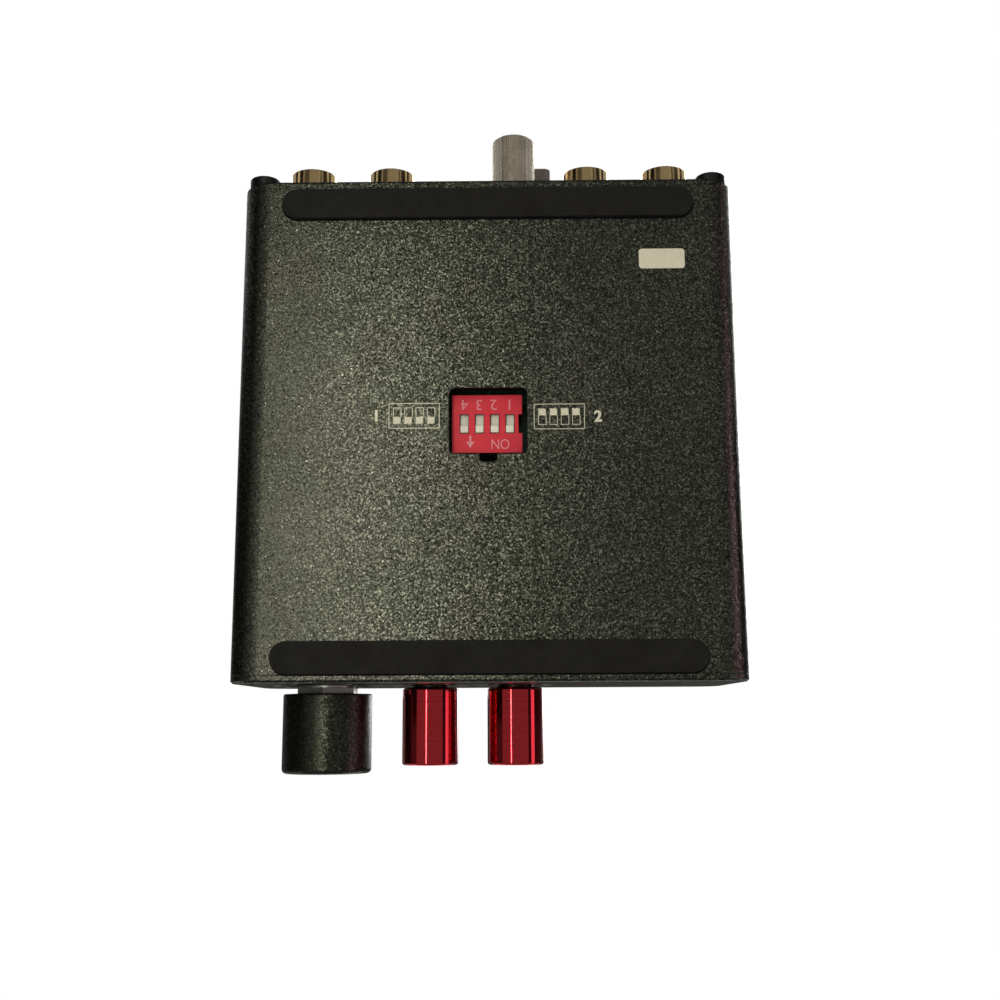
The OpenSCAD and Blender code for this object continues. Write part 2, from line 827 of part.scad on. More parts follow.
module power_button_cap() {
    l = face_y + button_out - cap_y;
    rear_w = button_w - 2 * button_chamfer;
    hole = stem_w + 2 * press_fit;
    color([0.27, 0.24, 0.26])
        difference() {
            translate([button_x, cap_y, button_z])
                rotate([-90, 0, 0])
                    hull() {
                        linear_extrude(l - button_chamfer)
                            rounded_rect(button_w, button_w, button_r, $fn = round_fn);
                        linear_extrude(l)
                            rounded_rect(rear_w, rear_w, button_r, $fn = round_fn);
                    }
            box_y(button_x, hole, cap_y - 1, cap_y + stem_grip + press_fit,
                button_z - hole / 2, button_z + hole / 2);
        }
}

// ---- controls ----

// A round knob whose +Z end is its front, with a pointer groove from its middle to its top edge
module knob(r, l, edge, back, bore_l, recess_r, recess_l) {
    difference() {
        rotate_extrude()
            difference() {
                round_edged_half(r, l, edge);
                polygon([[r - back, 0], [r + 1, -1], [r + 1, back + 1], [r, back]]);
            }
        translate([0, 0, -1])
            cylinder(h = bore_l + 1, r = shaft_r + press_fit);
        translate([0, 0, -1])
            cylinder(h = recess_l + 1, r = recess_r);
        translate([-groove_w / 2, r * groove_start, l - groove_depth])
            cube([groove_w, r, 1]);
    }
}

// Places a knob on its axis, its back at the given gap from the front panel
module at_knob(x, gap) {
    translate([x, -face_y - gap, knob_z])
        rotate([90, 0, 0])
            children();
}

module volume_knob() {
    color([0.09, 0.09, 0.08])
        at_knob(volume_x, volume_gap)
            difference() {
                knob(volume_r, volume_l, volume_edge, volume_back, volume_l - knob_wall,
                    nut_af / 2 / cos(30) + nut_recess_gap, knob_recess_l);
                translate([0, 0, set_screw_y])
                    rotate([-90, 0, 0])
                        cylinder(h = volume_r + 1, r = set_screw_r + press_fit);
            }
}

module volume_knob_set_screw() {
    color([0.2, 0.2, 0.2])
        at_knob(volume_x, volume_gap)
            translate([0, shaft_r + press_fit, set_screw_y])
                rotate([-90, 0, 0])
                    difference() {
                        cylinder(h = set_screw_l, r = set_screw_r);
                        translate([0, 0, set_screw_l - hex_key_depth])
                            cylinder(h = hex_key_depth + 1, r = hex_key_r, $fn = 6);
                    }
}

module tone_knob(x) {
    color([0.55, 0.05, 0.09])
        at_knob(x, tone_gap)
            knob(tone_r, tone_l, tone_edge, tone_back, tone_l - knob_wall, shaft_r + clear,
                tone_recess_l);
}

// A shaft from the middle of its control's case to just short of the knob's front wall
module control_shaft(x, case_l, knob_front) {
    color([0.75, 0.75, 0.73])
        rod_y(x, knob_z, knob_front + knob_wall + shaft_end_gap, -panel_y + case_l * shaft_in, shaft_r);
}

module pot_case(x, w, l, r) {
    front = -panel_y + case_gap;
    difference() {
        union() {
            box_y(x, w, front, front + l, board_top, knob_z);
            rod_y(x, knob_z, front, front + l, w / 2);
        }
        rod_y(x, knob_z, front - 1, front + l * case_bore_in, r);
    }
}

module volume_pot_body() {
    color([0.6, 0.6, 0.58])
        pot_case(volume_x, volume_case_w, volume_case_l, shaft_r + turn_fit);
}

module tone_pot_body(x) {
    color([0.15, 0.3, 0.18])
        pot_case(x, tone_case_w, tone_case_l, shaft_r + turn_fit);
}

module volume_pot_bushing() {
    color([0.72, 0.7, 0.64])
        tube_y(volume_x, knob_z, -face_y - bush_out, -panel_y + case_gap, bush_r, shaft_r + turn_fit);
}

module volume_pot_washer() {
    color([0.72, 0.72, 0.7])
        tube_y(volume_x, knob_z, -face_y - washer_t, -face_y, nut_af / 2, bush_r + press_fit);
}

module volume_pot_nut() {
    y = -face_y - washer_t;
    color([0.74, 0.74, 0.72])
        difference() {
            translate([volume_x, y, knob_z])
                rotate([90, 30, 0])
                    cylinder(h = nut_t, d = nut_af / cos(30), $fn = 6);
            rod_y(volume_x, knob_z, y - nut_t - 1, y + 1, bush_r + press_fit);
        }
}

// ---- headphone socket and power light ----

module headphone_socket_body() {
    front = -panel_y + hole_fit;
    color([0.07, 0.07, 0.07])
        difference() {
            box_y(phones_x, phones_case_w, front, front + phones_case_l,
                board_top, phones_z + phones_nose_r + 1);
            rod_y(phones_x, phones_z, front - 1, -face_y + phones_bore_l, phones_bore_r);
        }
}

module headphone_socket_bush() {
    color([0.1, 0.1, 0.1])
        tube_y(phones_x, phones_z, -face_y, -panel_y + hole_fit, phones_nose_r, phones_bore_r);
}

module power_light() {
    color([0.95, 0.5, 0.45])
        union() {
            rod_y(light_x, knob_z, -face_y, -panel_y + light_l, light_r);
            rod_y(light_x, knob_z, -panel_y + light_l - light_flange, -panel_y + light_l, light_flange_r);
        }
}

module power_light_spacer() {
    front = -panel_y + light_l;
    color([0.1, 0.1, 0.1])
        box_y(light_x, spacer_w, front, front + spacer_l, board_top, knob_z + spacer_w / 2);
}

// ---- board parts ----

// A can with a scored top and a groove round its foot
module can(x, y, r, h) {
    score_depth = 0.35;
    groove_r = 0.4;
    translate([x, y, board_top])
        difference() {
            cylinder(h = h, r = r);
            translate([0, 0, h])
                cross_recess(r * 1.1, score_depth);
            translate([0, 0, 3 * groove_r])
                rotate_extrude()
                    translate([r + groove_r / 4, 0])
                        circle(groove_r);
        }
}

module electrolytic_capacitors() {
    supply_x = -sleeve_w / 2 + supply_inset;
    small_x = sleeve_w / 2 - small_inset;
    color([0.12, 0.14, 0.2]) {
        for (i = [0, 1], side = [-1, 1])
            can(supply_x + i * (2 * supply_cap_r + 1), parts_mid + side * (supply_cap_r + 0.5),
                supply_cap_r, supply_cap_h);
        for (i = [0:2], side = [-1, 1])
            can(small_x - i * small_pitch, parts_mid + side * small_row, small_cap_r, small_cap_h);
    }
}

module film_capacitors() {
    color([0.62, 0.12, 0.1])
        for (i = [0:3])
            translate([sleeve_w / 2 - film_inset + i * film_pitch, parts_mid - film_cap[1] / 2, board_top])
                cube(film_cap);
}

// Two chips in front of the gain switch's pins and one behind them
module at_op_amps() {
    for (p = chip_places)
        translate([p[0], switch_y + p[1] * chip_row, board_top])
            children();
}

module op_amp_sockets() {
    color([0.13, 0.13, 0.13])
        at_op_amps()
            translate([-socket[0] / 2, -socket[1] / 2, 0])
                cube(socket);
}

module op_amps() {
    color([0.06, 0.06, 0.06])
        at_op_amps()
            difference() {
                translate([-chip[0] / 2, -chip[1] / 2, socket[2]])
                    cube(chip);
                translate([-chip[0] / 2, 0, socket[2] + chip[2] - 0.4])
                    cylinder(h = 1, r = 0.8);
            }
}

module voltage_regulator() {
    leg_l = 1;
    leg_w = 0.7;
    leg_pitch = 2.54;
    body = [4.4, 10, 9];
    tab = [1.3, 10.4, 15];
    color([0.4, 0.4, 0.42])
        translate([-sleeve_w / 2 + regulator_inset, parts_mid, board_top]) {
            translate([-body[0] / 2, -body[1] / 2, leg_l])
                cube(body);
            translate([-body[0] / 2 - tab[0], -tab[1] / 2, leg_l])
                cube(tab);
            for (i = [-1:1])
                translate([-leg_w / 2, i * leg_pitch - leg_w / 2, 0])
                    cube([leg_w, leg_w, leg_l + eps]);
        }
}

module resistors() {
    color([0.25, 0.5, 0.62])
        for (i = [0:7])
            rod_y(resistor_start + i * resistor_pitch, board_top + resistor_r,
                switch_y - resistor_row, switch_y - resistor_row + resistor_l, resistor_r);
}

sleeve();
front_panel();
rear_panel();
front_panel_screws();
rear_panel_screws();
foot_strip(-1, front_foot_gap);  // front_foot_strip
foot_strip(1, rear_foot_gap);  // rear_foot_strip
main_board();
riser_board();
gain_switch_base();
gain_switch_cover();
gain_switch_pins();
gain_slider(1);  // gain_slider_1
gain_slider(2);  // gain_slider_2
gain_slider(3);  // gain_slider_3
gain_slider(4);  // gain_slider_4
jack_block(1);  // input_jack_block
jack_block(-1);  // output_jack_block
barrel(jack_inner_x);  // input_left_barrel
barrel(jack_outer_x);  // input_right_barrel
barrel(-jack_inner_x);  // output_left_barrel
barrel(-jack_outer_x);  // output_right_barrel
left_jack_insulators();
right_jack_insulators();
jack_center_contacts();
ground_stud();
ground_inner_nut();
ground_tag();
ground_washer();
ground_thumb_nut();
dc_inlet_body();
dc_inlet_pin();
power_switch_case();
power_switch_spring();
power_button_stem();
power_button_cap();
volume_pot_body();
volume_pot_bushing();
volume_pot_washer();
volume_pot_nut();
control_shaft(volume_x, volume_case_l, -face_y - volume_out);  // volume_shaft
volume_knob();
volume_knob_set_screw();
tone_pot_body(treble_x);  // treble_pot_body
control_shaft(treble_x, tone_case_l, -face_y - tone_out);  // treble_shaft
tone_knob(treble_x);  // treble_knob
tone_pot_body(bass_x);  // bass_pot_body
control_shaft(bass_x, tone_case_l, -face_y - tone_out);  // bass_shaft
tone_knob(bass_x);  // bass_knob
headphone_socket_body();
headphone_socket_bush();
power_light();
power_light_spacer();
electrolytic_capacitors();
film_capacitors();
op_amp_sockets();
op_amps();
voltage_regulator();
resistors();
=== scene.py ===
import json
import math

import bmesh
import bpy
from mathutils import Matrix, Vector


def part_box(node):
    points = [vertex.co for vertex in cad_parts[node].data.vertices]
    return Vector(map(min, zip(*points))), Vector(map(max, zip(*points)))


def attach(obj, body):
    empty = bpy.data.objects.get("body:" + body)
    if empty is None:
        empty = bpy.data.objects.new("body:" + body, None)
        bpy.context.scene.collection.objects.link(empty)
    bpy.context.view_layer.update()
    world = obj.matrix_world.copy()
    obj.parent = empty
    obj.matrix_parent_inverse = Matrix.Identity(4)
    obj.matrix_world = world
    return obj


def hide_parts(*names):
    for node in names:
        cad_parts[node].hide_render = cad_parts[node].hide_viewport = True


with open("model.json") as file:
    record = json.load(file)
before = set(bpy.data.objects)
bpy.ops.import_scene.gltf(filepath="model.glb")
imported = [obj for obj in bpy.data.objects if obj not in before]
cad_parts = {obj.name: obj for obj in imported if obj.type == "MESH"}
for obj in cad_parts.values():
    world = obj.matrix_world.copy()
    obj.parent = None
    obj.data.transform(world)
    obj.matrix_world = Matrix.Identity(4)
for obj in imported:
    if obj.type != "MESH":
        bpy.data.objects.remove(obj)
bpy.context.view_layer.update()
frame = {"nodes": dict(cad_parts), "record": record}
cadNodes = frame["nodes"]
scene = bpy.context.scene
mm = 0.001
print("frame loaded:", len(cadNodes), "nodes")


# selecting and finishing, as every piece below needs it

facing = 0.9                   # least cosine at which a face's normal counts as pointing along an axis
smoothBelow = 40               # degrees between two faces that shade as one


def deselectAll():
    bpy.ops.object.select_all(action="DESELECT")


def pick(piece):
    deselectAll()
    piece.select_set(True)
    bpy.context.view_layer.objects.active = piece


def startEdit(piece):
    pick(piece)
    bpy.ops.object.mode_set(mode="EDIT")
    bpy.ops.mesh.select_all(action="SELECT")


def endEdit():
    bpy.ops.object.mode_set(mode="OBJECT")


def selectFaces(piece, test):
    bpy.ops.mesh.select_mode(type="FACE")
    bpy.ops.mesh.select_all(action="DESELECT")
    shape = bmesh.from_edit_mesh(piece.data)
    for face in shape.faces:
        if test(face.calc_center_median(), face.normal):
            face.select_set(True)
    bmesh.update_edit_mesh(piece.data)


def selectEdges(piece, test):
    bpy.ops.mesh.select_mode(type="EDGE")
    bpy.ops.mesh.select_all(action="DESELECT")
    shape = bmesh.from_edit_mesh(piece.data)
    for edge in shape.edges:
        if test(edge):
            edge.select_set(True)
    bmesh.update_edit_mesh(piece.data)


def settle(piece, name):
    pick(piece)
    bpy.ops.object.transform_apply(location=True, rotation=True, scale=True)
    piece.name = name
    piece.data.name = name


def mergeAndFace(piece):
    # doubles go first, then every face is turned outwards
    startEdit(piece)
    bpy.ops.mesh.remove_doubles(threshold=0.002 * mm)
    bpy.ops.mesh.normals_make_consistent(inside=False)
    endEdit()


def smooth(piece, degrees=smoothBelow):
    pick(piece)
    bpy.ops.object.shade_smooth_by_angle(angle=math.radians(degrees))


def applyModifier(piece, kind, **values):
    pick(piece)
    bpy.ops.object.modifier_add(type=kind)
    modifier = piece.modifiers[-1]
    for key, value in values.items():
        setattr(modifier, key, value)
    bpy.ops.object.modifier_apply(modifier=modifier.name)


def joinPieces(pieces):
    deselectAll()
    for piece in pieces:
        piece.select_set(True)
    bpy.context.view_layer.objects.active = pieces[0]
    bpy.ops.object.join()
    return pieces[0]


def copyPiece(piece):
    pick(piece)
    bpy.ops.object.duplicate(linked=False)
    return bpy.context.object


def finishPiece(piece, material, body, slot, *replaced):
    piece.data.materials.clear()
    piece.data.materials.append(material)
    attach(piece, body)
    if replaced:
        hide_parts(*replaced)


def boxOf(node):
    low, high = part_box(node)
    return Vector(low), Vector(high)


# camera, below the part and looking up at its bottom face

cameraSet = {
    "place": (-3.34, -48.279, -190.93),    # mm
    "turn": (-169.6306544, -0.48689218, -179.69946163),
    "lens": 43.217,
    "sensor": 36,                          # mm
    "clip": (0.01, 20),                    # m
}


def makeCamera():
    bpy.ops.object.camera_add(location=[v * mm for v in cameraSet["place"]],
                              rotation=[math.radians(v) for v in cameraSet["turn"]])
    camera = bpy.context.object
    camera.name = "viewCamera"
    camera.data.lens = cameraSet["lens"]
    camera.data.sensor_width = cameraSet["sensor"]
    camera.data.clip_start, camera.data.clip_end = cameraSet["clip"]
    scene.camera = camera


makeCamera()
scene.view_settings.view_transform = "Standard"


# the bottom face of the sleeve and the face of the gain switch, which the print and some finishes start from
sleeveBottom = boxOf("sleeve")[0].z
switchFace = boxOf("gain_switch_cover")[0].z


# shader groups that several finishes share

def newGroup(name, inputs, outputs):
    group = bpy.data.node_groups.new(name, "ShaderNodeTree")
    for label, kind, value in inputs:
        socket = group.interface.new_socket(label, in_out="INPUT", socket_type="NodeSocket" + kind)
        socket.default_value = value
    for label, kind in outputs:
        group.interface.new_socket(label, in_out="OUTPUT", socket_type="NodeSocket" + kind)
    return group, group.nodes.new("NodeGroupInput"), group.nodes.new("NodeGroupOutput")


def addNode(tree, kind, **values):
    # a key with a capital names a socket, any other a setting of the node
    node = tree.nodes.new("ShaderNode" + kind)
    for key, value in values.items():
        if key[0].isupper():
            node.inputs[key.replace("_", " ")].default_value = value
        else:
            setattr(node, key, value)
    return node


def mixColors(tree, factor, colorA, colorB):
    mix = addNode(tree, "Mix", data_type="RGBA")
    for socket, value in ((mix.inputs[0], factor), (mix.inputs[6], colorA), (mix.inputs[7], colorB)):
        if isinstance(value, bpy.types.NodeSocket):
            tree.links.new(value, socket)
        elif isinstance(value, (int, float)):
            socket.default_value = value
        else:
            socket.default_value = (*value[:3], 1)
    return mix.outputs[2]


def doMath(tree, operation, a, b=None):
    node = addNode(tree, "Math", operation=operation)
    for socket, value in zip(node.inputs, (a, b)):
        if isinstance(value, bpy.types.NodeSocket):
            tree.links.new(value, socket)
        elif value is not None:
            socket.default_value = value
    return node.outputs[0]


def remap(tree, value, fromLow, fromHigh, toLow, toHigh):
    node = addNode(tree, "MapRange", From_Min=fromLow, From_Max=fromHigh, To_Min=toLow, To_Max=toHigh)
    tree.links.new(value, node.inputs["Value"])
    return node.outputs["Result"]


def stretch(tree, noise, reach):
    # noise keeps near one half, so its middle is stretched to run from 0 to 1
    return remap(tree, noise, 0.5 - reach, 0.5 + reach, 0, 1)


def redOf(tree, color):
    split = addNode(tree, "SeparateColor")
    tree.links.new(color, split.inputs[0])
    return split.outputs[0]


grainShape = {
    "dullness": 5.0,           # power that leaves most facets dull and a few bright
    "facetShare": 0.75,        # the rest of the brightness is fine noise
    "fineScale": 0.5,          # of the grains' scale
    "speckScale": 0.55,
    "speckRarity": 0.955,
    "speckReach": 0.45,        # of a cell
    "speckGain": 7.0,
    "cloudScale": 60.0,
}


def makeGrainGroup():
    # blasted grain: small facets, each with its own tilt and brightness, and rare bright specks among them
    group, start, end = newGroup(
        "blastedGrain",
        [("Grains per metre", "Float", 4200), ("Low", "Float", 0.5), ("High", "Float", 1.9),
         ("Specks", "Float", 1.0), ("Tilt", "Float", 0.0), ("Normal", "Vector", (0, 0, 1))],
        [("Factor", "Float"), ("Height", "Float"), ("Cloud", "Float"), ("Normal", "Vector")])
    link = group.links.new
    place = addNode(group, "TexCoord").outputs["Object"]
    facets = addNode(group, "TexVoronoi")
    link(place, facets.inputs["Vector"])
    link(start.outputs["Grains per metre"], facets.inputs["Scale"])
    fine = addNode(group, "TexNoise", Detail=2.0, Roughness=0.55, Distortion=0.6)
    link(place, fine.inputs["Vector"])
    fineScale = doMath(group, "MULTIPLY", start.outputs["Grains per metre"], grainShape["fineScale"])
    link(fineScale, fine.inputs["Scale"])
    bright = addNode(group, "TexVoronoi")
    link(place, bright.inputs["Vector"])
    speckScale = doMath(group, "MULTIPLY", start.outputs["Grains per metre"], grainShape["speckScale"])
    link(speckScale, bright.inputs["Scale"])
    cloud = addNode(group, "TexNoise", Scale=grainShape["cloudScale"], Detail=3.0)
    link(place, cloud.inputs["Vector"])

    shine = doMath(group, "POWER", redOf(group, facets.outputs["Color"]), grainShape["dullness"])
    spread = stretch(group, fine.outputs[0], 0.16)
    mixed = doMath(group, "ADD", doMath(group, "MULTIPLY", shine, grainShape["facetShare"]),
                   doMath(group, "MULTIPLY", spread, 1 - grainShape["facetShare"]))
    factor = addNode(group, "MapRange")
    link(mixed, factor.inputs["Value"])
    link(start.outputs["Low"], factor.inputs["To Min"])
    link(start.outputs["High"], factor.inputs["To Max"])
    picked = remap(group, redOf(group, bright.outputs["Color"]), grainShape["speckRarity"], 1.0, 0, 1)
    near = remap(group, bright.outputs["Distance"], 0.0, grainShape["speckReach"], 1, 0)
    speck = doMath(group, "MULTIPLY", doMath(group, "MULTIPLY", picked, near), start.outputs["Specks"])
    gained = doMath(group, "MULTIPLY", speck, grainShape["speckGain"])
    link(doMath(group, "ADD", factor.outputs["Result"], gained), end.inputs["Factor"])
    link(doMath(group, "ADD", spread, facets.outputs["Distance"]), end.inputs["Height"])
    link(stretch(group, cloud.outputs[0], 0.2), end.inputs["Cloud"])

    # each facet's normal leans its own way, by how its colour differs from mid grey
    lean = addNode(group, "VectorMath", operation="SUBTRACT")
    link(facets.outputs["Color"], lean.inputs[0])
    lean.inputs[1].default_value = (0.5, 0.5, 0.5)
    scaled = addNode(group, "VectorMath", operation="SCALE")
    link(lean.outputs[0], scaled.inputs[0])
    link(start.outputs["Tilt"], scaled.inputs["Scale"])
    tilted = addNode(group, "VectorMath", operation="ADD")
    link(start.outputs["Normal"], tilted.inputs[0])
    link(scaled.outputs[0], tilted.inputs[1])
    unit = addNode(group, "VectorMath", operation="NORMALIZE")
    link(tilted.outputs[0], unit.inputs[0])
    link(unit.outputs[0], end.inputs["Normal"])
    return group


def makeHandlingGroup():
    # handling marks: broad patches that change the gloss and, on metals, the tint a little
    group, start, end = newGroup(
        "handling",
        [("Patches per metre", "Float", 45), ("Low", "Float", 0.3), ("High", "Float", 0.4)],
        [("Roughness", "Float"), ("Patch", "Float")])
    link = group.links.new
    place = addNode(group, "TexCoord").outputs["Object"]
    patch = addNode(group, "TexNoise", Detail=5.0, Roughness=0.6, Distortion=0.8)
    link(place, patch.inputs["Vector"])
    link(start.outputs["Patches per metre"], patch.inputs["Scale"])
    mask = stretch(group, patch.outputs[0], 0.15)
    result = addNode(group, "MapRange")
    link(mask, result.inputs["Value"])
    link(start.outputs["Low"], result.inputs["To Min"])
    link(start.outputs["High"], result.inputs["To Max"])
    link(result.outputs["Result"], end.inputs["Roughness"])
    link(mask, end.inputs["Patch"])
    return group


def makeTurnedGroup():
    # fine rings left by a lathe on pieces whose axis runs front to back
    group, start, end = newGroup(
        "turnedRings",
        [("Rings per metre", "Float", 4000)],
        [("Height", "Float"), ("Ring", "Float")])
    link = group.links.new
    split = addNode(group, "SeparateXYZ")
    link(addNode(group, "TexCoord").outputs["Object"], split.inputs[0])
    along = doMath(group, "MULTIPLY", split.outputs["Y"], start.outputs["Rings per metre"])
    rings = addNode(group, "TexNoise", noise_dimensions="1D", Scale=1.0, Detail=3.0)
    link(along, rings.inputs["W"])
    link(rings.outputs[0], end.inputs["Height"])
    link(stretch(group, rings.outputs[0], 0.15), end.inputs["Ring"])
    return group


def makeMouldedGroup():
    # the faint spark-eroded skin and flow marks of a moulded piece
    group, start, end = newGroup(
        "mouldedSkin",
        [("Grains per metre", "Float", 7000)],
        [("Height", "Float"), ("Tone", "Float"), ("Flow", "Float")])
    link = group.links.new
    place = addNode(group, "TexCoord").outputs["Object"]
    skin = addNode(group, "TexNoise", Detail=2.0, Roughness=0.5)
    link(place, skin.inputs["Vector"])
    link(start.outputs["Grains per metre"], skin.inputs["Scale"])
    tone = addNode(group, "TexNoise", Scale=350.0, Detail=4.0, Roughness=0.6)
    link(place, tone.inputs["Vector"])
    flow = addNode(group, "TexNoise", Scale=120.0, Detail=2.0, Distortion=1.5)
    link(place, flow.inputs["Vector"])
    link(skin.outputs[0], end.inputs["Height"])
    link(stretch(group, tone.outputs[0], 0.2), end.inputs["Tone"])
    link(stretch(group, flow.outputs[0], 0.2), end.inputs["Flow"])
    return group


edgeShape = {
    "flat": 0.995,             # cosine between the softened normal and the true one, clear of any edge
    "sharp": 0.85,             # and right on one
    "broken": (0.45, 0.65),    # noise at which the wear begins and is full
}


def makeEdgeGroup():
    # how near a sharp edge a point is, broken up so that the wear isn't even, and the softened normal there
    group, start, end = newGroup(
        "edgeWear",
        [("Width", "Float", 0.25 * mm), ("Breakup", "Float", 900)],
        [("Wear", "Float"), ("Normal", "Vector")])
    link = group.links.new
    softened = addNode(group, "Bevel", samples=4)
    link(start.outputs["Width"], softened.inputs["Radius"])
    flat = addNode(group, "NewGeometry")
    dot = addNode(group, "VectorMath", operation="DOT_PRODUCT")
    link(softened.outputs[0], dot.inputs[0])
    link(flat.outputs["Normal"], dot.inputs[1])
    edge = remap(group, dot.outputs["Value"], edgeShape["flat"], edgeShape["sharp"], 0, 1)
    spots = addNode(group, "TexNoise", Detail=3.0)
    link(addNode(group, "TexCoord").outputs["Object"], spots.inputs["Vector"])
    link(start.outputs["Breakup"], spots.inputs["Scale"])
    broken = remap(group, spots.outputs[0], *edgeShape["broken"], 0, 1)
    link(doMath(group, "MULTIPLY", edge, broken), end.inputs["Wear"])
    link(softened.outputs[0], end.inputs["Normal"])
    return group


grainGroup = makeGrainGroup()
handlingGroup = makeHandlingGroup()
turnedGroup = makeTurnedGroup()
mouldedGroup = makeMouldedGroup()
edgeGroup = makeEdgeGroup()
print("shader groups made")


# finishes, with every depth and edge width in mm and every scale per metre

def newMaterial(name, **sockets):
    material = bpy.data.materials.new(name)
    material.use_nodes = True
    shader = material.node_tree.nodes["Principled BSDF"]
    for key, value in sockets.items():
        shader.inputs[key.replace("_", " ")].default_value = value
    return material, material.node_tree, shader


def useGroup(tree, group, **values):
    node = tree.nodes.new("ShaderNodeGroup")
    node.node_tree = group
    for key, value in values.items():
        node.inputs[key.replace("_", " ")].default_value = value
    return node


def addMarks(tree, patches, roughness):
    return useGroup(tree, handlingGroup, Patches_per_metre=patches, Low=roughness[0], High=roughness[1])


def addEdge(tree, width, breakup):
    return useGroup(tree, edgeGroup, Width=width * mm, Breakup=breakup)


def wearAway(tree, edge, share, ground, bare):
    return mixColors(tree, doMath(tree, "MULTIPLY", edge.outputs["Wear"], share), ground, bare)


def paint(tree, shader, color, roughness):
    tree.links.new(color, shader.inputs["Base Color"])
    tree.links.new(roughness, shader.inputs["Roughness"])


def addBump(tree, shader, height, depth, normal=None):
    bump = addNode(tree, "Bump", Strength=1.0, Distance=depth * mm)
    tree.links.new(height, bump.inputs["Height"])
    if normal is not None:
        tree.links.new(normal, bump.inputs["Normal"])
    tree.links.new(bump.outputs[0], shader.inputs["Normal"])


blasted = {
    "deep": (0.058, 0.063, 0.046),     # olive tinted black
    "cast": (0.064, 0.063, 0.050),     # warmer clouds in it
    "bare": (0.30, 0.29, 0.26),        # worn edges
    "edgeWidth": 0.3,
    "breakup": 1400,
    "patches": 40,
    "roughness": (0.28, 0.35),
}
# painted shade for the walls of the switch's window, which lie in shade down in the recess
windowShade = {
    "color": (0.004, 0.004, 0.004),
    "from": 0.12,                      # mm above the bottom face
    "reach": (7.2, 7.6, 4.0),          # mm each way from the middle
}


def windowShadeMask(tree):
    # 1 on the walls of the switch's window, above the bottom face: painted shade there, so they render nearly
    # black, rough and not metallic
    place = addNode(tree, "TexCoord").outputs["Object"]
    split = addNode(tree, "SeparateXYZ")
    tree.links.new(place, split.inputs[0])
    mask = doMath(tree, "GREATER_THAN", split.outputs["Z"], sleeveBottom + windowShade["from"] * mm)
    for axis, reach in zip("XYZ", windowShade["reach"]):
        within = doMath(tree, "LESS_THAN", doMath(tree, "ABSOLUTE", split.outputs[axis]), reach * mm)
        mask = doMath(tree, "MULTIPLY", mask, within)
    return mask


def makeBlasted(name, grains, low, high, specks, tilt, depth, wear, shadedWindow=False):
    material, tree, shader = newMaterial(name, Specular_IOR_Level=0.1, Metallic=1.0)
    link = tree.links.new
    grain = useGroup(tree, grainGroup, Grains_per_metre=grains, Low=low, High=high, Specks=specks, Tilt=tilt)
    marks = addMarks(tree, blasted["patches"], blasted["roughness"])
    edge = addEdge(tree, blasted["edgeWidth"], blasted["breakup"])
    tint = mixColors(tree, grain.outputs["Cloud"], blasted["deep"], blasted["cast"])
    scaled = addNode(tree, "VectorMath", operation="SCALE")
    link(tint, scaled.inputs[0])
    link(grain.outputs["Factor"], scaled.inputs["Scale"])
    worn = wearAway(tree, edge, wear, scaled.outputs[0], blasted["bare"])
    rough = marks.outputs["Roughness"]
    if shadedWindow:
        # painted shade: the window's walls turn nearly black, rough and not metallic
        windowShading = windowShadeMask(tree)
        worn = mixColors(tree, windowShading, worn, windowShade["color"])
        rough = doMath(tree, "MAXIMUM", rough, windowShading)
        link(doMath(tree, "SUBTRACT", 1.0, windowShading), shader.inputs["Metallic"])
    paint(tree, shader, worn, rough)
    link(edge.outputs["Normal"], grain.inputs["Normal"])
    addBump(tree, shader, grain.outputs["Height"], depth, grain.outputs["Normal"])
    return material


rubber = {
    "dark": (0.0080, 0.0076, 0.0055),
    "light": (0.0120, 0.0114, 0.0082),
    "dust": (0.09, 0.085, 0.07),
    "dusty": (0.66, 0.74),             # heights of the skin at which dust begins and is full
    "dustShare": 0.25,
    "grains": 4200,
    "depth": 0.02,
    "patches": 110,
    "roughness": (0.72, 0.9),
}


def makeRubber():
    material, tree, shader = newMaterial("stripRubber", Specular_IOR_Level=0.25)
    skin = useGroup(tree, mouldedGroup, Grains_per_metre=rubber["grains"])
    marks = addMarks(tree, rubber["patches"], rubber["roughness"])
    tone = mixColors(tree, skin.outputs["Tone"], rubber["dark"], rubber["light"])
    dusty = remap(tree, skin.outputs["Height"], *rubber["dusty"], 0, 1)
    dust = doMath(tree, "MULTIPLY", dusty, rubber["dustShare"])
    paint(tree, shader, mixColors(tree, dust, tone, rubber["dust"]), marks.outputs["Roughness"])
    addBump(tree, shader, skin.outputs["Height"], rubber["depth"])
    return material


redMetal = {
    "dark": (0.49, 0.007, 0.013),
    "light": (0.59, 0.010, 0.020),
    "worn": (0.62, 0.10, 0.12),
    "wornShare": 0.3,
    "edgeWidth": 0.2,
    "breakup": 1500,
    "rings": 2600,
    "depth": 0.002,
    "patches": 120,
    "roughness": (0.05, 0.08),
}


def makeRedMetal():
    material, tree, shader = newMaterial("redAnodised", Metallic=1.0, Coat_Roughness=0.04, Coat_Weight=0.75)
    turned = useGroup(tree, turnedGroup, Rings_per_metre=redMetal["rings"])
    marks = addMarks(tree, redMetal["patches"], redMetal["roughness"])
    edge = addEdge(tree, redMetal["edgeWidth"], redMetal["breakup"])
    body = mixColors(tree, turned.outputs["Ring"], redMetal["dark"], redMetal["light"])
    color = wearAway(tree, edge, redMetal["wornShare"], body, redMetal["worn"])
    paint(tree, shader, color, marks.outputs["Roughness"])
    addBump(tree, shader, turned.outputs["Height"], redMetal["depth"], edge.outputs["Normal"])
    return material


metal = {"edgeWidth": 0.12, "breakup": 2500, "patches": 160}


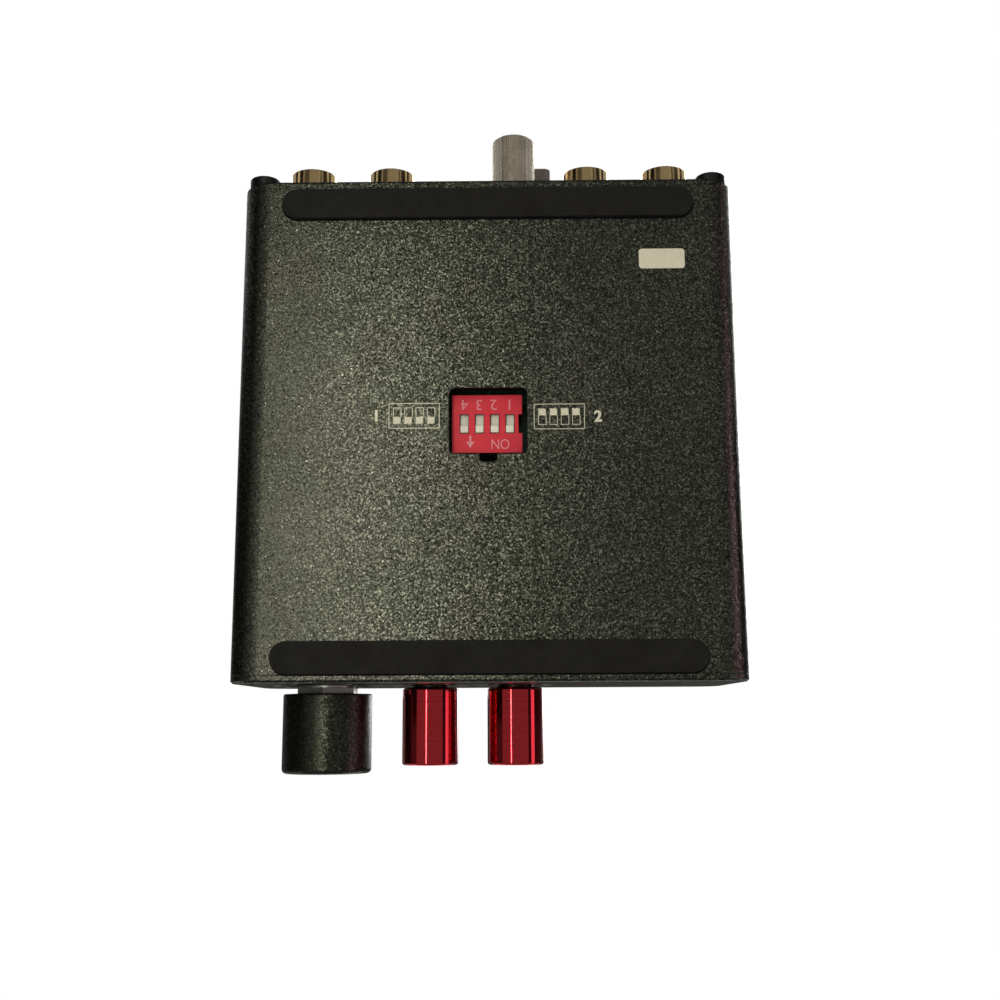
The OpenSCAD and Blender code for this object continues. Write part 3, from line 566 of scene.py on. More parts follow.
def makeMetal(name, dark, light, roughness, rings, depth, worn=(0.9, 0.88, 0.82), wornShare=0.2):
    material, tree, shader = newMaterial(name, Metallic=1.0)
    turned = useGroup(tree, turnedGroup, Rings_per_metre=rings)
    marks = addMarks(tree, metal["patches"], roughness)
    edge = addEdge(tree, metal["edgeWidth"], metal["breakup"])
    body = mixColors(tree, marks.outputs["Patch"], dark, light)
    paint(tree, shader, wearAway(tree, edge, wornShare, body, worn), marks.outputs["Roughness"])
    addBump(tree, shader, turned.outputs["Height"], depth, edge.outputs["Normal"])
    return material


plastic = {
    "flowTint": 1.12,                  # of the middle tone, along the flow marks
    "flowShare": 0.4,
    "paleTint": 1.5,                   # of the middle tone, on worn edges
    "paleLift": 0.03,
    "wornShare": 0.3,
    "breakup": 2500,
    "patches": 150,
    "polished": 0.05,                  # how much smoother its smoothest patches are
    "scuffed": 0.07,                   # and how much rougher its roughest
}
# painted shade for the switch cover's sides, from these heights above its face
coverShade = {"color": (0.006, 0.007, 0.005), "from": 0.03, "full": 0.2, "share": 0.93}     # mm above the face


def addCoverShade(tree, ground, face):
    # painted shade: the sides darken towards near black away from the face, for the shade down in the window
    split = addNode(tree, "SeparateXYZ")
    tree.links.new(addNode(tree, "TexCoord").outputs["Object"], split.inputs[0])
    thick = remap(tree, split.outputs["Z"], face + coverShade["from"] * mm, face + coverShade["full"] * mm, 0,
                  coverShade["share"])
    return mixColors(tree, thick, ground, coverShade["color"])


def makePlastic(name, dark, light, roughness, grains=7000, depth=0.006, edgeWidth=0.12, shadeFrom=None,
                **sockets):
    material, tree, shader = newMaterial(name, **sockets)
    skin = useGroup(tree, mouldedGroup, Grains_per_metre=grains)
    smoothest = roughness - plastic["polished"]
    marks = addMarks(tree, plastic["patches"], (smoothest, roughness + plastic["scuffed"]))
    edge = addEdge(tree, edgeWidth, plastic["breakup"])
    tone = mixColors(tree, skin.outputs["Tone"], dark, light)
    middle = [(a + b) / 2 for a, b in zip(dark, light)]
    flow = mixColors(tree, doMath(tree, "MULTIPLY", skin.outputs["Flow"], plastic["flowShare"]), tone,
                     [v * plastic["flowTint"] for v in middle])
    pale = [min(1, v * plastic["paleTint"] + plastic["paleLift"]) for v in middle]
    color = wearAway(tree, edge, plastic["wornShare"], flow, pale)
    # painted shade on the sides, where a face height is given
    if shadeFrom is not None:
        color = addCoverShade(tree, color, shadeFrom)
    paint(tree, shader, color, marks.outputs["Roughness"])
    addBump(tree, shader, skin.outputs["Height"], depth, edge.outputs["Normal"])
    return material


ink = {"grains": 4200, "cover": (0.45, 1.0), "depth": 0.01, "roughness": (0.55, 0.7)}


def makeInk(name, thin, thick):
    # screen print that lets a little of the ground through in places
    material, tree, shader = newMaterial(name, Specular_IOR_Level=0.3)
    grain = useGroup(tree, grainGroup, Grains_per_metre=ink["grains"], Low=ink["cover"][0],
                     High=ink["cover"][1], Specks=0.0)
    color = mixColors(tree, grain.outputs["Factor"], thin, thick)
    paint(tree, shader, color, remap(tree, grain.outputs["Cloud"], 0, 1, *ink["roughness"]))
    addBump(tree, shader, grain.outputs["Height"], ink["depth"])
    return material


board = {
    "dark": (0.004, 0.062, 0.026),
    "light": (0.007, 0.095, 0.040),
    "overTrack": (0.02, 0.16, 0.07),
    "trackDepth": 0.03,
    "grains": 5000,
    "patches": 90,
    "roughness": (0.32, 0.45),
}


def makeBoard():
    material, tree, shader = newMaterial("solderMask", Coat_Weight=0.4, Coat_Roughness=0.2)
    # copper tracks under the mask, as broken square lines
    cells = addNode(tree, "TexBrick", Scale=260.0, Mortar_Size=0.06, Brick_Width=1.3, Row_Height=0.33)
    tree.links.new(addNode(tree, "TexCoord").outputs["Object"], cells.inputs["Vector"])
    skin = useGroup(tree, mouldedGroup, Grains_per_metre=board["grains"])
    marks = addMarks(tree, board["patches"], board["roughness"])
    mask = mixColors(tree, skin.outputs["Tone"], board["dark"], board["light"])
    color = mixColors(tree, cells.outputs["Fac"], mask, board["overTrack"])
    paint(tree, shader, color, marks.outputs["Roughness"])
    addBump(tree, shader, cells.outputs["Fac"], board["trackDepth"])
    return material


finishes = {
    "black_anodised": makeBlasted("blastedBlack", grains=4900, low=0.26, high=4.5, specks=1.6, tilt=0.17,
                                  depth=0.010, wear=0.05, shadedWindow=True),
    "black_knob": makeBlasted("blastedKnob", grains=4600, low=0.33, high=1.95, specks=0.3, tilt=0.15,
                              depth=0.008, wear=0.08),
    "black_steel": makeMetal("blackenedSteel", (0.030, 0.029, 0.028), (0.050, 0.048, 0.046), (0.28, 0.4),
                             rings=3000, depth=0.004, worn=(0.35, 0.34, 0.33), wornShare=0.3),
    "black_rubber": makeRubber(),
    "green_board": makeBoard(),
    "red_plastic": makePlastic("switchRed", (0.64, 0.022, 0.038), (0.74, 0.031, 0.049), 0.42, grains=5200,
                               depth=0.008, edgeWidth=0.1, shadeFrom=switchFace, Specular_IOR_Level=0.3),
    "tinned_metal": makeMetal("tinned", (0.46, 0.45, 0.43), (0.58, 0.57, 0.54), (0.36, 0.48), rings=3500,
                              depth=0.004),
    "cream_plastic": makePlastic("sliderCream", (0.74, 0.70, 0.55), (0.84, 0.80, 0.63), 0.42, grains=5000,
                                 depth=0.008, edgeWidth=0.1),
    "black_plastic": makePlastic("mouldedBlack", (0.012, 0.012, 0.012), (0.020, 0.020, 0.019), 0.45),
    "gold_plate": makeMetal("goldFlash", (0.54, 0.38, 0.17), (0.66, 0.48, 0.23), (0.10, 0.18), rings=3200,
                            depth=0.003, worn=(0.85, 0.7, 0.4), wornShare=0.3),
    "white_plastic": makePlastic("insulatorWhite", (0.70, 0.70, 0.66), (0.78, 0.78, 0.74), 0.35),
    "red_insulator": makePlastic("insulatorRed", (0.42, 0.02, 0.02), (0.50, 0.03, 0.03), 0.35),
    "satin_nickel": makeMetal("satinNickel", (0.66, 0.59, 0.47), (0.78, 0.70, 0.57), (0.22, 0.32), rings=3000,
                              depth=0.006, worn=(0.80, 0.76, 0.66), wornShare=0.45),
    "grey_plastic": makePlastic("buttonGrey", (0.125, 0.102, 0.088), (0.155, 0.126, 0.109), 0.5, grains=6000,
                                depth=0.01, edgeWidth=0.3),
    "red_anodised": makeRedMetal(),
    "pot_case": makePlastic("controlGreen", (0.012, 0.055, 0.026), (0.020, 0.080, 0.038), 0.5),
    "light_lens": makePlastic("lightLens", (0.50, 0.07, 0.05), (0.62, 0.11, 0.08), 0.15, grains=4000,
                              depth=0.002, edgeWidth=0.2, Transmission_Weight=0.6, IOR=1.49),
    "capacitor_sleeve": makePlastic("capacitorSleeve", (0.012, 0.018, 0.045), (0.020, 0.028, 0.065), 0.3),
    "film_red": makePlastic("filmRed", (0.34, 0.025, 0.018), (0.42, 0.035, 0.025), 0.28),
    "chip_black": makePlastic("chipBlack", (0.016, 0.016, 0.017), (0.026, 0.026, 0.027), 0.6, grains=5200),
    "heat_tab": makeMetal("heatTab", (0.38, 0.38, 0.40), (0.50, 0.50, 0.52), (0.3, 0.42), rings=2800,
                          depth=0.004),
    "resistor_blue": makePlastic("resistorBlue", (0.06, 0.20, 0.31), (0.09, 0.27, 0.39), 0.32),
}
printInk = makeInk("printInk", (0.50, 0.47, 0.33), (0.72, 0.68, 0.49))
switchInk = makeInk("switchInk", (0.70, 0.20, 0.22), (0.86, 0.36, 0.38))
pointerInk = makeInk("pointerInk", (0.62, 0.61, 0.56), (0.82, 0.81, 0.76))
# painted shadow: the near-black matte film under the foot strips
stripShadow = makePlastic("stripShadowBlack", (0.0015, 0.0015, 0.0015), (0.003, 0.003, 0.003), 0.6,
                       Specular_IOR_Level=0.08)
print("finishes made:", len(finishes), "for the record's slots, 3 inks and the adhesive")

slotOf = {row["node"]: row["material_slot"] for row in frame["record"]["subparts"]}
shadedShafts = ("treble_shaft", "bass_shaft")         # nickel in the record, black here as painted shade, for the shade between knob and panel
for nodeName, node in cadNodes.items():
    node.data.materials.clear()
    node.data.materials.append(finishes["black_steel" if nodeName in shadedShafts else slotOf[nodeName]])


# print on the bottom face

inkDepth = 0.04 * mm
capitalShare = 0.7         # a capital's height, of the text's size
topToRear = (0, 180, 0)    # degrees that turn a drawing face down, and where its top then is
topToFront = (180, 0, 0)


def layFlat(piece, name, turn, centre, surface):
    # turns a flat piece that was drawn facing up so that it faces down, half sunk into its ground
    piece.rotation_euler = [math.radians(v) for v in turn]
    piece.location = (centre[0] * mm, centre[1] * mm, surface)
    settle(piece, name)


def makeText(name, spec, turn, surface):
    bpy.ops.object.text_add(location=(0, 0, 0))
    piece = bpy.context.object
    piece.data.body = spec["words"]
    piece.data.align_x = "CENTER"
    piece.data.align_y = "CENTER"
    piece.data.size = spec["tall"] * mm / capitalShare
    piece.data.offset = spec["heavy"] * mm
    piece.data.extrude = inkDepth / 2
    pick(piece)
    bpy.ops.object.convert(target="MESH")
    piece.scale.x = spec.get("narrow", 1.0)
    layFlat(piece, name, turn, spec["centre"], surface)
    mergeAndFace(piece)
    return piece


# every size of the print is in mm, and so is every place, from the middle of the sleeve
pictogram = {
    "frame": (8.38, 4.30),
    "line": 0.11,
    "corner": 0.12,
    "cell": (1.35, 2.80),
    "cellLine": 0.10,
    "cellCorner": 0.06,
    "cells": 4,
    "pitch": 1.86,
    "fill": 1.20,
}
pictograms = {
    "leftPictogram": {"centre": (12.17, 1.00), "fillRear": False},
    "rightPictogram": {"centre": (-11.72, 0.72), "fillRear": True},
}


def makePlate(size, centre=(0, 0)):
    bpy.ops.mesh.primitive_plane_add(size=1, location=(centre[0] * mm, centre[1] * mm, 0))
    plate = bpy.context.object
    plate.scale = (size[0] * mm, size[1] * mm, 1)
    settle(plate, "plate")
    return plate


def makeRing(size, line, corner):
    ring = makePlate(size)
    startEdit(ring)
    bpy.ops.mesh.bevel(offset=corner * mm, segments=4, affect="VERTICES")
    bpy.ops.mesh.inset(thickness=line * mm)
    bpy.ops.mesh.delete(type="FACE")
    endEdit()
    return ring


def makePictogram(name, spec):
    parts = [makeRing(pictogram["frame"], pictogram["line"], pictogram["corner"])]
    width, height = pictogram["cell"]
    side = 1 if spec["fillRear"] else -1
    filled = makePlate((width, pictogram["fill"]), (0, side * (height - pictogram["fill"]) / 2))
    outline = makeRing(pictogram["cell"], pictogram["cellLine"], pictogram["cellCorner"])
    cell = joinPieces([outline, filled])
    middle = (pictogram["cells"] - 1) / 2
    for i in range(pictogram["cells"]):
        copy = copyPiece(cell)
        copy.location.x = (i - middle) * pictogram["pitch"] * mm
        parts.append(copy)
    bpy.data.objects.remove(cell)
    sign = joinPieces(parts)
    applyModifier(sign, "SOLIDIFY", thickness=inkDepth, offset=0.0)
    layFlat(sign, name, topToRear, spec["centre"], sleeveBottom)
    mergeAndFace(sign)
    finishPiece(sign, printInk, "enclosure", "cream_plastic")


for name, spec in pictograms.items():
    makePictogram(name, spec)

bottomMarks = {
    "positionOne": {"words": "1", "tall": 1.8, "centre": (18.4, 0.95), "heavy": 0.09},
    "positionTwo": {"words": "2", "tall": 1.8, "centre": (-18.1, 0.62), "heavy": 0.09},
}
for name, spec in bottomMarks.items():
    finishPiece(makeText(name, spec, topToRear, sleeveBottom), printInk, "enclosure", "cream_plastic")

labelPlate = {"size": (7.7, 3.5), "centre": (-29.34, 27.98), "corner": 0.55, "thick": 0.08, "edge": 0.02}


def makeLabel():
    label = makePlate(labelPlate["size"])
    startEdit(label)
    bpy.ops.mesh.bevel(offset=labelPlate["corner"] * mm, segments=8, affect="VERTICES")
    endEdit()
    applyModifier(label, "SOLIDIFY", thickness=labelPlate["thick"] * mm, offset=0.0)
    applyModifier(label, "BEVEL", width=labelPlate["edge"] * mm, segments=2, limit_method="ANGLE")
    layFlat(label, "labelPlate", topToRear, labelPlate["centre"], sleeveBottom)
    mergeAndFace(label)
    finishPiece(label, printInk, "enclosure", "cream_plastic")


makeLabel()
print("bottom print made")


# print on the gain switch

switchMarks = {
    "switchDigit1": {"words": "1", "tall": 1.8, "centre": (-3.55, 3.56), "heavy": -0.015},
    "switchDigit2": {"words": "2", "tall": 1.8, "centre": (-0.91, 3.56), "heavy": -0.015},
    "switchDigit3": {"words": "3", "tall": 1.8, "centre": (1.53, 3.56), "heavy": -0.015},
    "switchDigit4": {"words": "4", "tall": 1.8, "centre": (3.99, 3.56), "heavy": -0.015},
    "switchOn": {"words": "ON", "tall": 1.7, "centre": (-1.97, -3.2), "heavy": -0.015, "narrow": 0.82},
}
for name, spec in switchMarks.items():
    finishPiece(makeText(name, spec, topToFront, switchFace), switchInk, "enclosure", "cream_plastic")

arrow = {"centre": (3.0, -3.2), "head": 0.75, "headAt": 0.35, "stem": (0.32, 1.1), "stemAt": -0.5}


def makeArrow():
    bpy.ops.mesh.primitive_circle_add(vertices=3, radius=arrow["head"] * mm, fill_type="NGON",
                                      location=(0, arrow["headAt"] * mm, 0))
    head = bpy.context.object
    stem = makePlate(arrow["stem"], (0, arrow["stemAt"]))
    mark = joinPieces([head, stem])
    applyModifier(mark, "SOLIDIFY", thickness=inkDepth, offset=0.0)
    layFlat(mark, "switchArrow", topToFront, arrow["centre"], switchFace)
    mergeAndFace(mark)
    finishPiece(mark, switchInk, "enclosure", "cream_plastic")


makeArrow()
print("switch print made")


# foot strips with a soft edge all round, each on a near-black film that shows at its edge as a painted shadow

strips = {"frontFoot": "front_foot_strip", "rearFoot": "rear_foot_strip"}
strip = {
    "edge": 0.07,
    "band": 0.05,              # of the flat face, along its rounded edge
    "segments": 3,
    "endSegments": 24,
    "tip": 0.001,              # flat left in the middle of a round end, until the merge
    "merge": 0.01,
    "flat": 0.999,             # least cosine, for the flat face without its rounded edge
}
# painted shadow: the film is larger than the strip and shifted towards -x and -y, so the shadow falls to that
# side
shadowFilm = {"reach": 0.16, "thick": 0.04, "edge": 0.01, "shift": (-0.05, -0.10)}   # it is laid a little off


def makeStadium(low, high, name, rounding):
    # a bar with round ends that fills the box from low to high, its lower edge rounded
    size = high - low
    bpy.ops.mesh.primitive_cube_add(size=1, location=(low + high) / 2)
    piece = bpy.context.object
    piece.scale = size
    settle(piece, name)
    startEdit(piece)
    selectEdges(piece, lambda edge: abs(edge.verts[0].co.z - edge.verts[1].co.z) > size.z / 2)
    bpy.ops.mesh.bevel(offset=size.y / 2 - strip["tip"] * mm, segments=strip["endSegments"])
    bpy.ops.mesh.select_all(action="SELECT")
    bpy.ops.mesh.remove_doubles(threshold=strip["merge"] * mm)
    selectFaces(piece, lambda centre, normal: normal.z < -facing)
    bpy.ops.mesh.region_to_loop()
    bpy.ops.mesh.bevel(offset=rounding * mm, segments=strip["segments"])
    selectFaces(piece, lambda centre, normal: normal.z < -strip["flat"])
    bpy.ops.mesh.inset(thickness=strip["band"] * mm)
    endEdit()
    mergeAndFace(piece)
    smooth(piece)
    return piece


def makeStrip(name, node):
    low, high = boxOf(node)
    pad = makeStadium(low, high, name + "Pad", strip["edge"])
    finishPiece(pad, finishes["black_rubber"], "enclosure", "black_rubber", node)
    reach = Vector((shadowFilm["reach"], shadowFilm["reach"], 0)) * mm
    shift = Vector((*shadowFilm["shift"], 0)) * mm
    shadowLow = Vector((low.x, low.y, high.z - shadowFilm["thick"] * mm)) - reach + shift
    # painted shadow under the strip
    shadowPiece = makeStadium(shadowLow, high + reach + shift, name + "ShadowFilm", shadowFilm["edge"])
    finishPiece(shadowPiece, stripShadow, "enclosure", "black_plastic")


for name, node in strips.items():
    makeStrip(name, node)
print("foot strips made")


# phono jack barrels: a neck in the panel, the barrel and a rounded lip

barrels = {
    "inputLeftBarrel": "input_left_barrel",
    "inputRightBarrel": "input_right_barrel",
    "outputLeftBarrel": "output_left_barrel",
    "outputRightBarrel": "output_right_barrel",
}
barrel = {
    "segments": 96,
    "wall": 0.6,
    "neckStep": 0.2,
    "lip": 0.16,
    "lipSegments": 4,
    "nearAxis": 0.5,           # what counts as a face on the axis
    "shortEdge": 0.5,          # and as an edge of the rings at the open end
    "endDepth": 0.01,
    "smoothBelow": 35,
}
patternNode = "input_left_barrel"
panelRear = boxOf("rear_panel")[1].y


def makeBarrelPattern():
    low, high = boxOf(patternNode)
    centre = (low + high) / 2
    bpy.ops.mesh.primitive_cylinder_add(
        vertices=barrel["segments"], radius=(high.x - low.x) / 2, depth=high.y - panelRear,
        end_fill_type="NGON", location=(centre.x, (high.y + panelRear) / 2, centre.z),
        rotation=(math.radians(90), 0, 0))
    pattern = bpy.context.object
    settle(pattern, "barrelPattern")
    startEdit(pattern)
    # the neck: a smaller face at the panel, drawn in through it to the barrel's inner end
    selectFaces(pattern, lambda place, normal: normal.y < -facing)
    bpy.ops.mesh.inset(thickness=barrel["neckStep"] * mm)
    bpy.ops.mesh.extrude_region_move(TRANSFORM_OT_translate={"value": (0, low.y - panelRear, 0)})
    bpy.ops.mesh.inset(thickness=(barrel["wall"] - barrel["neckStep"]) * mm)
    # the bore, from end to end, and the rounded lip round its open end
    selectFaces(pattern, lambda place, normal: normal.y > facing)
    bpy.ops.mesh.inset(thickness=barrel["wall"] * mm)
    nearAxis = barrel["nearAxis"] * mm
    selectFaces(pattern, lambda place, normal: abs(normal.y) > facing and
                (place - Vector((centre.x, place.y, centre.z))).length < nearAxis)
    bpy.ops.mesh.bridge_edge_loops()
    shortEdge = barrel["shortEdge"] * mm
    openEnd = high.y - barrel["endDepth"] * mm
    selectEdges(pattern, lambda edge: edge.calc_length() < shortEdge and
                min(edge.verts[0].co.y, edge.verts[1].co.y) > openEnd)
    bpy.ops.mesh.bevel(offset=barrel["lip"] * mm, segments=barrel["lipSegments"])
    endEdit()
    mergeAndFace(pattern)
    smooth(pattern, barrel["smoothBelow"])
    return pattern


def middleX(node):
    low, high = boxOf(node)
    return ((low + high) / 2).x


def makeBarrel(name, node, pattern):
    piece = copyPiece(pattern)
    piece.location.x = middleX(node) - middleX(patternNode)
    settle(piece, name)
    finishPiece(piece, finishes["gold_plate"], "enclosure", "gold_plate", node)


barrelPattern = makeBarrelPattern()
for name, node in barrels.items():
    makeBarrel(name, node, barrelPattern)
bpy.data.objects.remove(barrelPattern)
print("jack barrels made")


# sliders of the gain switch: a flat tongue and a raised nub with a rounded top

slider = {"count": 4, "nubBevel": 0.12, "nubFront": -1.30, "nubLength": 1.20, "tongue": 1.0}


def makeSlider(number):
    node = f"gain_slider_{number}"
    low, high = boxOf(node)
    tongueTop = high.z - slider["tongue"] * mm
    bpy.ops.mesh.primitive_cube_add(size=1, location=((low.x + high.x) / 2, (low.y + high.y) / 2,
                                                      (tongueTop + high.z) / 2))
    piece = bpy.context.object
    piece.scale = (high.x - low.x, high.y - low.y, high.z - tongueTop)
    settle(piece, f"gainSlider{number}")
    nubFront = slider["nubFront"] * mm
    nubRear = nubFront + slider["nubLength"] * mm

    def onNub(place, normal):
        return normal.z < -facing and nubFront < place.y < nubRear

    startEdit(piece)
    for place in (nubFront, nubRear):
        bpy.ops.mesh.select_all(action="SELECT")
        bpy.ops.mesh.bisect(plane_co=(0, place, 0), plane_no=(0, 1, 0))
    selectFaces(piece, onNub)
    bpy.ops.mesh.extrude_region_move(TRANSFORM_OT_translate={"value": (0, 0, low.z - tongueTop)})
    selectFaces(piece, onNub)
    bpy.ops.mesh.region_to_loop()
    bpy.ops.mesh.bevel(offset=slider["nubBevel"] * mm, segments=3)
    endEdit()
    mergeAndFace(piece)
    smooth(piece)
    finishPiece(piece, finishes["cream_plastic"], node, "cream_plastic", node)


for number in range(1, slider["count"] + 1):
    makeSlider(number)
print("sliders made")


# painted pointers in the knobs' grooves and the dial marks round them

pointers = {
    "volumePointer": {"knob": "volume_knob", "body": "volume_control"},
    "treblePointer": {"knob": "treble_knob", "body": "treble_control"},
    "bassPointer": {"knob": "bass_knob", "body": "bass_control"},
}
pointerShape = {
    "width": 0.60,
    "grooveDepth": 0.25,
    "paint": 0.12,
    "start": 0.36,             # of the knob's radius
    "end": 0.85,               # mm short of the rim
    "corner": 0.15,
    "edge": 0.04,
}


def makePointer(name, spec):
    low, high = boxOf(spec["knob"])
    radius = (high.x - low.x) / 2
    start = radius * pointerShape["start"]
    end = radius - pointerShape["end"] * mm
    floor = low.y + pointerShape["grooveDepth"] * mm
    thick = pointerShape["paint"] * mm
    bpy.ops.mesh.primitive_cube_add(size=1, location=((low.x + high.x) / 2, floor - thick / 2,
                                                      (low.z + high.z) / 2 + (start + end) / 2))
    piece = bpy.context.object
    piece.scale = (pointerShape["width"] * mm, thick, end - start)
    settle(piece, name)
    startEdit(piece)
    selectEdges(piece, lambda edge: abs(edge.verts[0].co.y - edge.verts[1].co.y) > thick / 2)
    bpy.ops.mesh.bevel(offset=pointerShape["corner"] * mm, segments=4)
    selectFaces(piece, lambda place, normal: normal.y < -facing)
    bpy.ops.mesh.region_to_loop()
    bpy.ops.mesh.bevel(offset=pointerShape["edge"] * mm, segments=2)
    endEdit()
    mergeAndFace(piece)
    smooth(piece)
    finishPiece(piece, pointerInk, spec["body"], "cream_plastic")


for name, spec in pointers.items():
    makePointer(name, spec)

dials = {
    "volumeDial": {"knob": "volume_knob", "inner": 8.5, "outer": 9.5, "width": 0.28, "marks": 11},
    "trebleDial": {"knob": "treble_knob", "inner": 5.6, "outer": 6.4, "width": 0.24, "marks": 11},
    "bassDial": {"knob": "bass_knob", "inner": 5.6, "outer": 6.4, "width": 0.24, "marks": 11},
}
dialSweep = 150                # degrees each way
longerMark = 0.5               # mm more for the first, the middle and the last mark
panelFront = boxOf("front_panel")[0].y


def makeDial(name, spec):
    low, high = boxOf(spec["knob"])
    marks = []
    last = spec["marks"] - 1
    for i in range(spec["marks"]):
        longer = longerMark if i in (0, last // 2, last) else 0.0
        length = spec["outer"] - spec["inner"] + longer
        mark = makePlate((spec["width"], length), (0, spec["inner"] + length / 2))
        mark.rotation_euler.z = math.radians(dialSweep - i * 2 * dialSweep / last)
        marks.append(mark)
    dial = joinPieces(marks)
    settle(dial, name)
    applyModifier(dial, "SOLIDIFY", thickness=inkDepth, offset=0.0)
    dial.rotation_euler = (math.radians(90), 0, 0)
    dial.location = ((low.x + high.x) / 2, panelFront, (low.z + high.z) / 2)
    settle(dial, name)
    mergeAndFace(dial)
    finishPiece(dial, pointerInk, "enclosure", "cream_plastic")


for name, spec in dials.items():
    makeDial(name, spec)
print("pointers and dials made")


# floor, cards and lamps

def hideFrom(piece, *rays):
    for ray in rays:
        setattr(piece, "visible_" + ray, False)


floorSet = {"size": 6.0, "greyTo": 0.16, "whiteFrom": 0.55}     # m, the last two from the middle


def makeFloor():
    bpy.ops.mesh.primitive_plane_add(size=floorSet["size"], location=(0, 0, 0))
    floor = bpy.context.object
    floor.name = "paleFloor"
    material, tree, shader = newMaterial("paleFloor", Roughness=0.9, Specular_IOR_Level=0.1,
                                         Base_Color=(0.86, 0.86, 0.855, 1))
    link = tree.links.new
    place = addNode(tree, "TexCoord").outputs["Object"]
    away = addNode(tree, "VectorMath", operation="LENGTH")
    link(place, away.inputs[0])
    white = addNode(tree, "Emission", Strength=1.0)
    far = remap(tree, away.outputs["Value"], floorSet["greyTo"], floorSet["whiteFrom"], 0.0, 1.0)
    blend = addNode(tree, "MixShader")
    link(far, blend.inputs[0])
    link(shader.outputs[0], blend.inputs[1])
    link(white.outputs[0], blend.inputs[2])
    clear = addNode(tree, "BsdfTransparent")
    seeThrough = addNode(tree, "MixShader")
    link(addNode(tree, "NewGeometry").outputs["Backfacing"], seeThrough.inputs[0])
    link(blend.outputs[0], seeThrough.inputs[1])
    link(clear.outputs[0], seeThrough.inputs[2])
    link(seeThrough.outputs[0], tree.nodes["Material Output"].inputs["Surface"])
    floor.data.materials.append(material)
    hideFrom(floor, "diffuse", "glossy", "transmission", "shadow")


cards = {
    # centre and size in metres, turn in degrees where a card isn't level, and the grey that gloss sees in it
    "cardBelow": {"centre": (0, 0, -0.62), "size": (3.2, 3.2), "level": 0.305},
    "flagRight": {"centre": (0.9, 0.55, 0.14), "size": (1.52, 1.2), "turn": (0, 90, 0), "level": 0.012},
    "flagLeft": {"centre": (-0.9, 0.55, 0.14), "size": (1.52, 1.2), "turn": (0, 90, 0), "level": 0.03},
    "knobRight": {"centre": (0.9, -0.40, 0.14), "size": (1.52, 0.7), "turn": (0, 90, 0), "level": 0.09},
    "knobLeft": {"centre": (-0.9, -0.40, 0.14), "size": (1.52, 0.7), "turn": (0, 90, 0), "level": 0.05},
    "slotRight": {"centre": (0.88, 0.60, 0.86), "size": (1.2, 0.40), "turn": (0, 90, 0), "level": 0.5},
    "slotLeft": {"centre": (-0.88, 0.60, 0.86), "size": (1.2, 0.40), "turn": (0, 90, 0), "level": 0.55},
    "streak": {"centre": (-0.41, 0.52, -0.60), "size": (0.035, 0.40), "level": 0.7},
    "streakDark": {"centre": (-0.54, 0.56, -0.60), "size": (0.16, 0.32), "level": 0.06},
    "streakShade": {"centre": (0.44, 0.56, -0.60), "size": (0.40, 0.32), "level": 0.09},
    "upperRight": {"centre": (0.9, 0.2, 1.30), "size": (0.80, 1.9), "turn": (0, 90, 0), "level": 0.25},
    "upperLeft": {"centre": (-0.9, 0.2, 1.30), "size": (0.80, 1.9), "turn": (0, 90, 0), "level": 0.25},
    "flagFront": {"centre": (0, -0.95, 0.04), "size": (1.8, 1.32), "turn": (90, 0, 0), "level": 0.04},
    "flagRear": {"centre": (0, 1.15, 0.14), "size": (1.8, 1.52), "turn": (90, 0, 0), "level": 0.05},
    "upperRear": {"centre": (0, 1.15, 1.30), "size": (1.8, 0.80), "turn": (90, 0, 0), "level": 0.30},
    "flagAbove": {"centre": (0, -0.50, 1.25), "size": (1.8, 0.96), "level": 0.03},
}
# low cards round the part, clear of it, that its upright faces see in views from above, with a gap at either
# side of the knobs
bounce = {
    "level": 0.75,
    "height": -0.001,
    "nearX": 0.095,
    "nearY": 0.11,
    "far": 0.6,
    "knobGap": (-0.13, 0.02),
}


def layBounce(name, lowX, highX, lowY, highY):
    cards[name] = {"centre": ((lowX + highX) / 2, (lowY + highY) / 2, bounce["height"]),
                   "size": (highX - lowX, highY - lowY), "level": bounce["level"]}


bounceSides = {"Right": (bounce["nearX"], bounce["far"]), "Left": (-bounce["far"], -bounce["nearX"])}
for side, (lowX, highX) in bounceSides.items():
    layBounce(f"bounce{side}Rear", lowX, highX, bounce["knobGap"][1], bounce["far"])
    layBounce(f"bounce{side}Front", lowX, highX, -bounce["far"], bounce["knobGap"][0])
layBounce("bounceRear", -bounce["nearX"], bounce["nearX"], bounce["nearY"], bounce["far"])
layBounce("bounceFront", -bounce["nearX"], bounce["nearX"], -bounce["far"], -bounce["nearY"])


def makeCard(name, spec):
    turn = [math.radians(v) for v in spec.get("turn", (0, 0, 0))]
    bpy.ops.mesh.primitive_plane_add(size=1, location=spec["centre"], rotation=turn)
    card = bpy.context.object
    card.name = name
    card.scale = (*spec["size"], 1)
    material = bpy.data.materials.new(name)
    material.use_nodes = True
    tree = material.node_tree
    glow = addNode(tree, "Emission", Strength=spec["level"])
    tree.links.new(glow.outputs[0], tree.nodes["Material Output"].inputs["Surface"])
    card.data.materials.append(material)
    hideFrom(card, "camera", "diffuse", "transmission", "shadow")


backLevel = {"hidden": 0.62, "seen": 1.0}      # for diffuse light, and for the camera and reflections


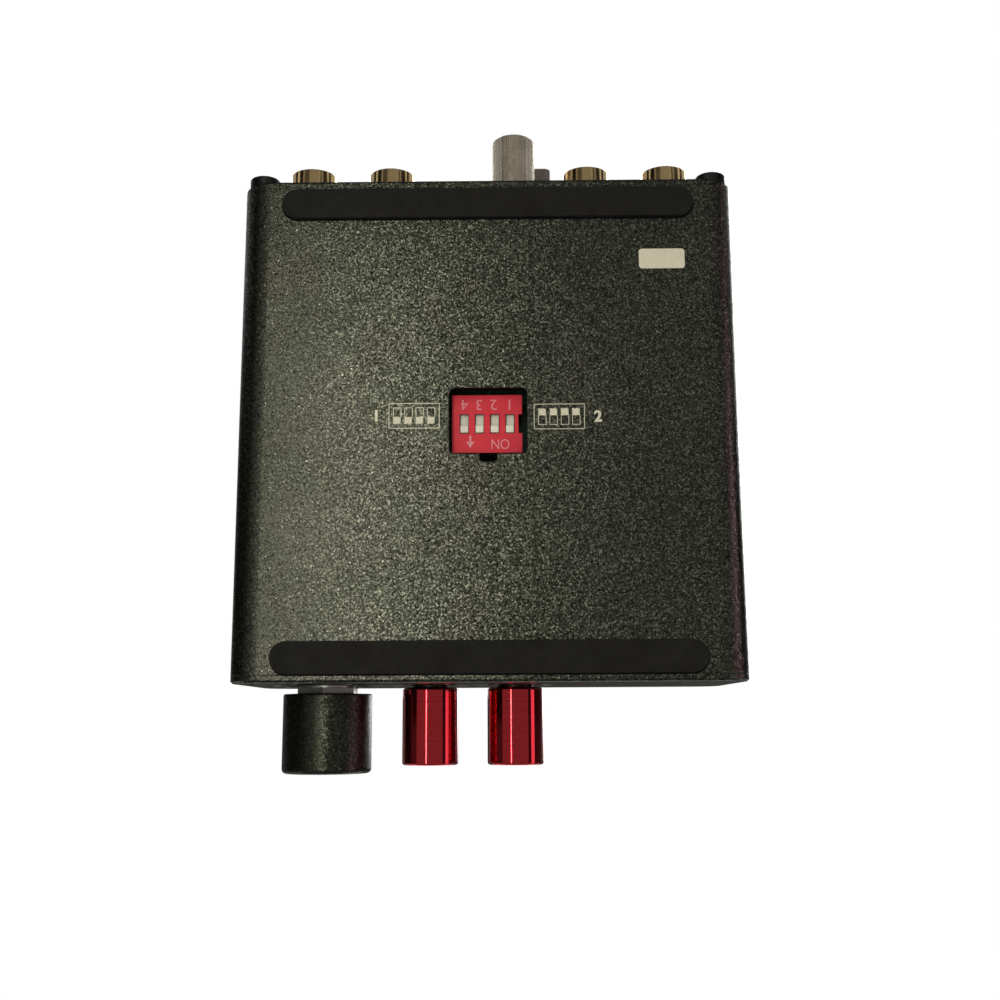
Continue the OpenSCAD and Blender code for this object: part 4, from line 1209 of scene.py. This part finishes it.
def makeWorld():
    world = bpy.data.worlds.new("paleStudio")
    world.use_nodes = True
    scene.world = world
    tree = world.node_tree
    back = tree.nodes["Background"]
    back.inputs["Color"].default_value = (1, 1, 1, 1)
    path = addNode(tree, "LightPath")
    seen = doMath(tree, "MAXIMUM", path.outputs["Is Camera Ray"], path.outputs["Is Glossy Ray"])
    seen = doMath(tree, "MAXIMUM", seen, path.outputs["Is Transmission Ray"])
    level = remap(tree, seen, 0, 1, backLevel["hidden"], backLevel["seen"])
    tree.links.new(level, back.inputs["Strength"])


lamps = {
    # place, aim and size in metres, power in watts, and white where no colour is given
    "nearLamp": {"place": (0.053, 0.000, -0.166), "aim": (0.053, 0.000, 0.0), "size": (0.007, 0.20),
                 "power": 0.088, "color": (1.0, 0.97, 0.86)},
    "sideLamp": {"place": (-0.55, -0.05, -0.12), "aim": (0, -0.05, 0.01), "size": (0.5, 0.16),
                 "power": 0.37, "color": (1.0, 0.62, 0.84)},
    "topLamp": {"place": (-0.40, 0.35, 1.0), "aim": (0, 0, 0.02), "size": (0.7, 0.7), "power": 10.0},
    "rearTopLamp": {"place": (0.0, 0.70, 1.1), "aim": (0, 0, 0.02), "size": (1.2, 0.4), "power": 6.0},
    "frontLamp": {"place": (0.0, -0.92, 0.62), "aim": (0, 0, 0.02), "size": (1.0, 0.2), "power": 3.0},
}


def makeLamp(name, spec):
    bpy.ops.object.light_add(type="AREA", location=spec["place"])
    lamp = bpy.context.object
    lamp.name = name
    aim = Vector(spec["aim"]) - Vector(spec["place"])
    lamp.rotation_euler = aim.to_track_quat("-Z", "Y").to_euler()
    lamp.data.shape = "RECTANGLE"
    lamp.data.size, lamp.data.size_y = spec["size"]
    lamp.data.energy = spec["power"]
    lamp.data.color = spec.get("color", (1, 1, 1))
    hideFrom(lamp, "camera")


makeFloor()
for name, spec in cards.items():
    makeCard(name, spec)
makeWorld()
for name, spec in lamps.items():
    makeLamp(name, spec)
print("floor, cards and lamps made")

deselectAll()
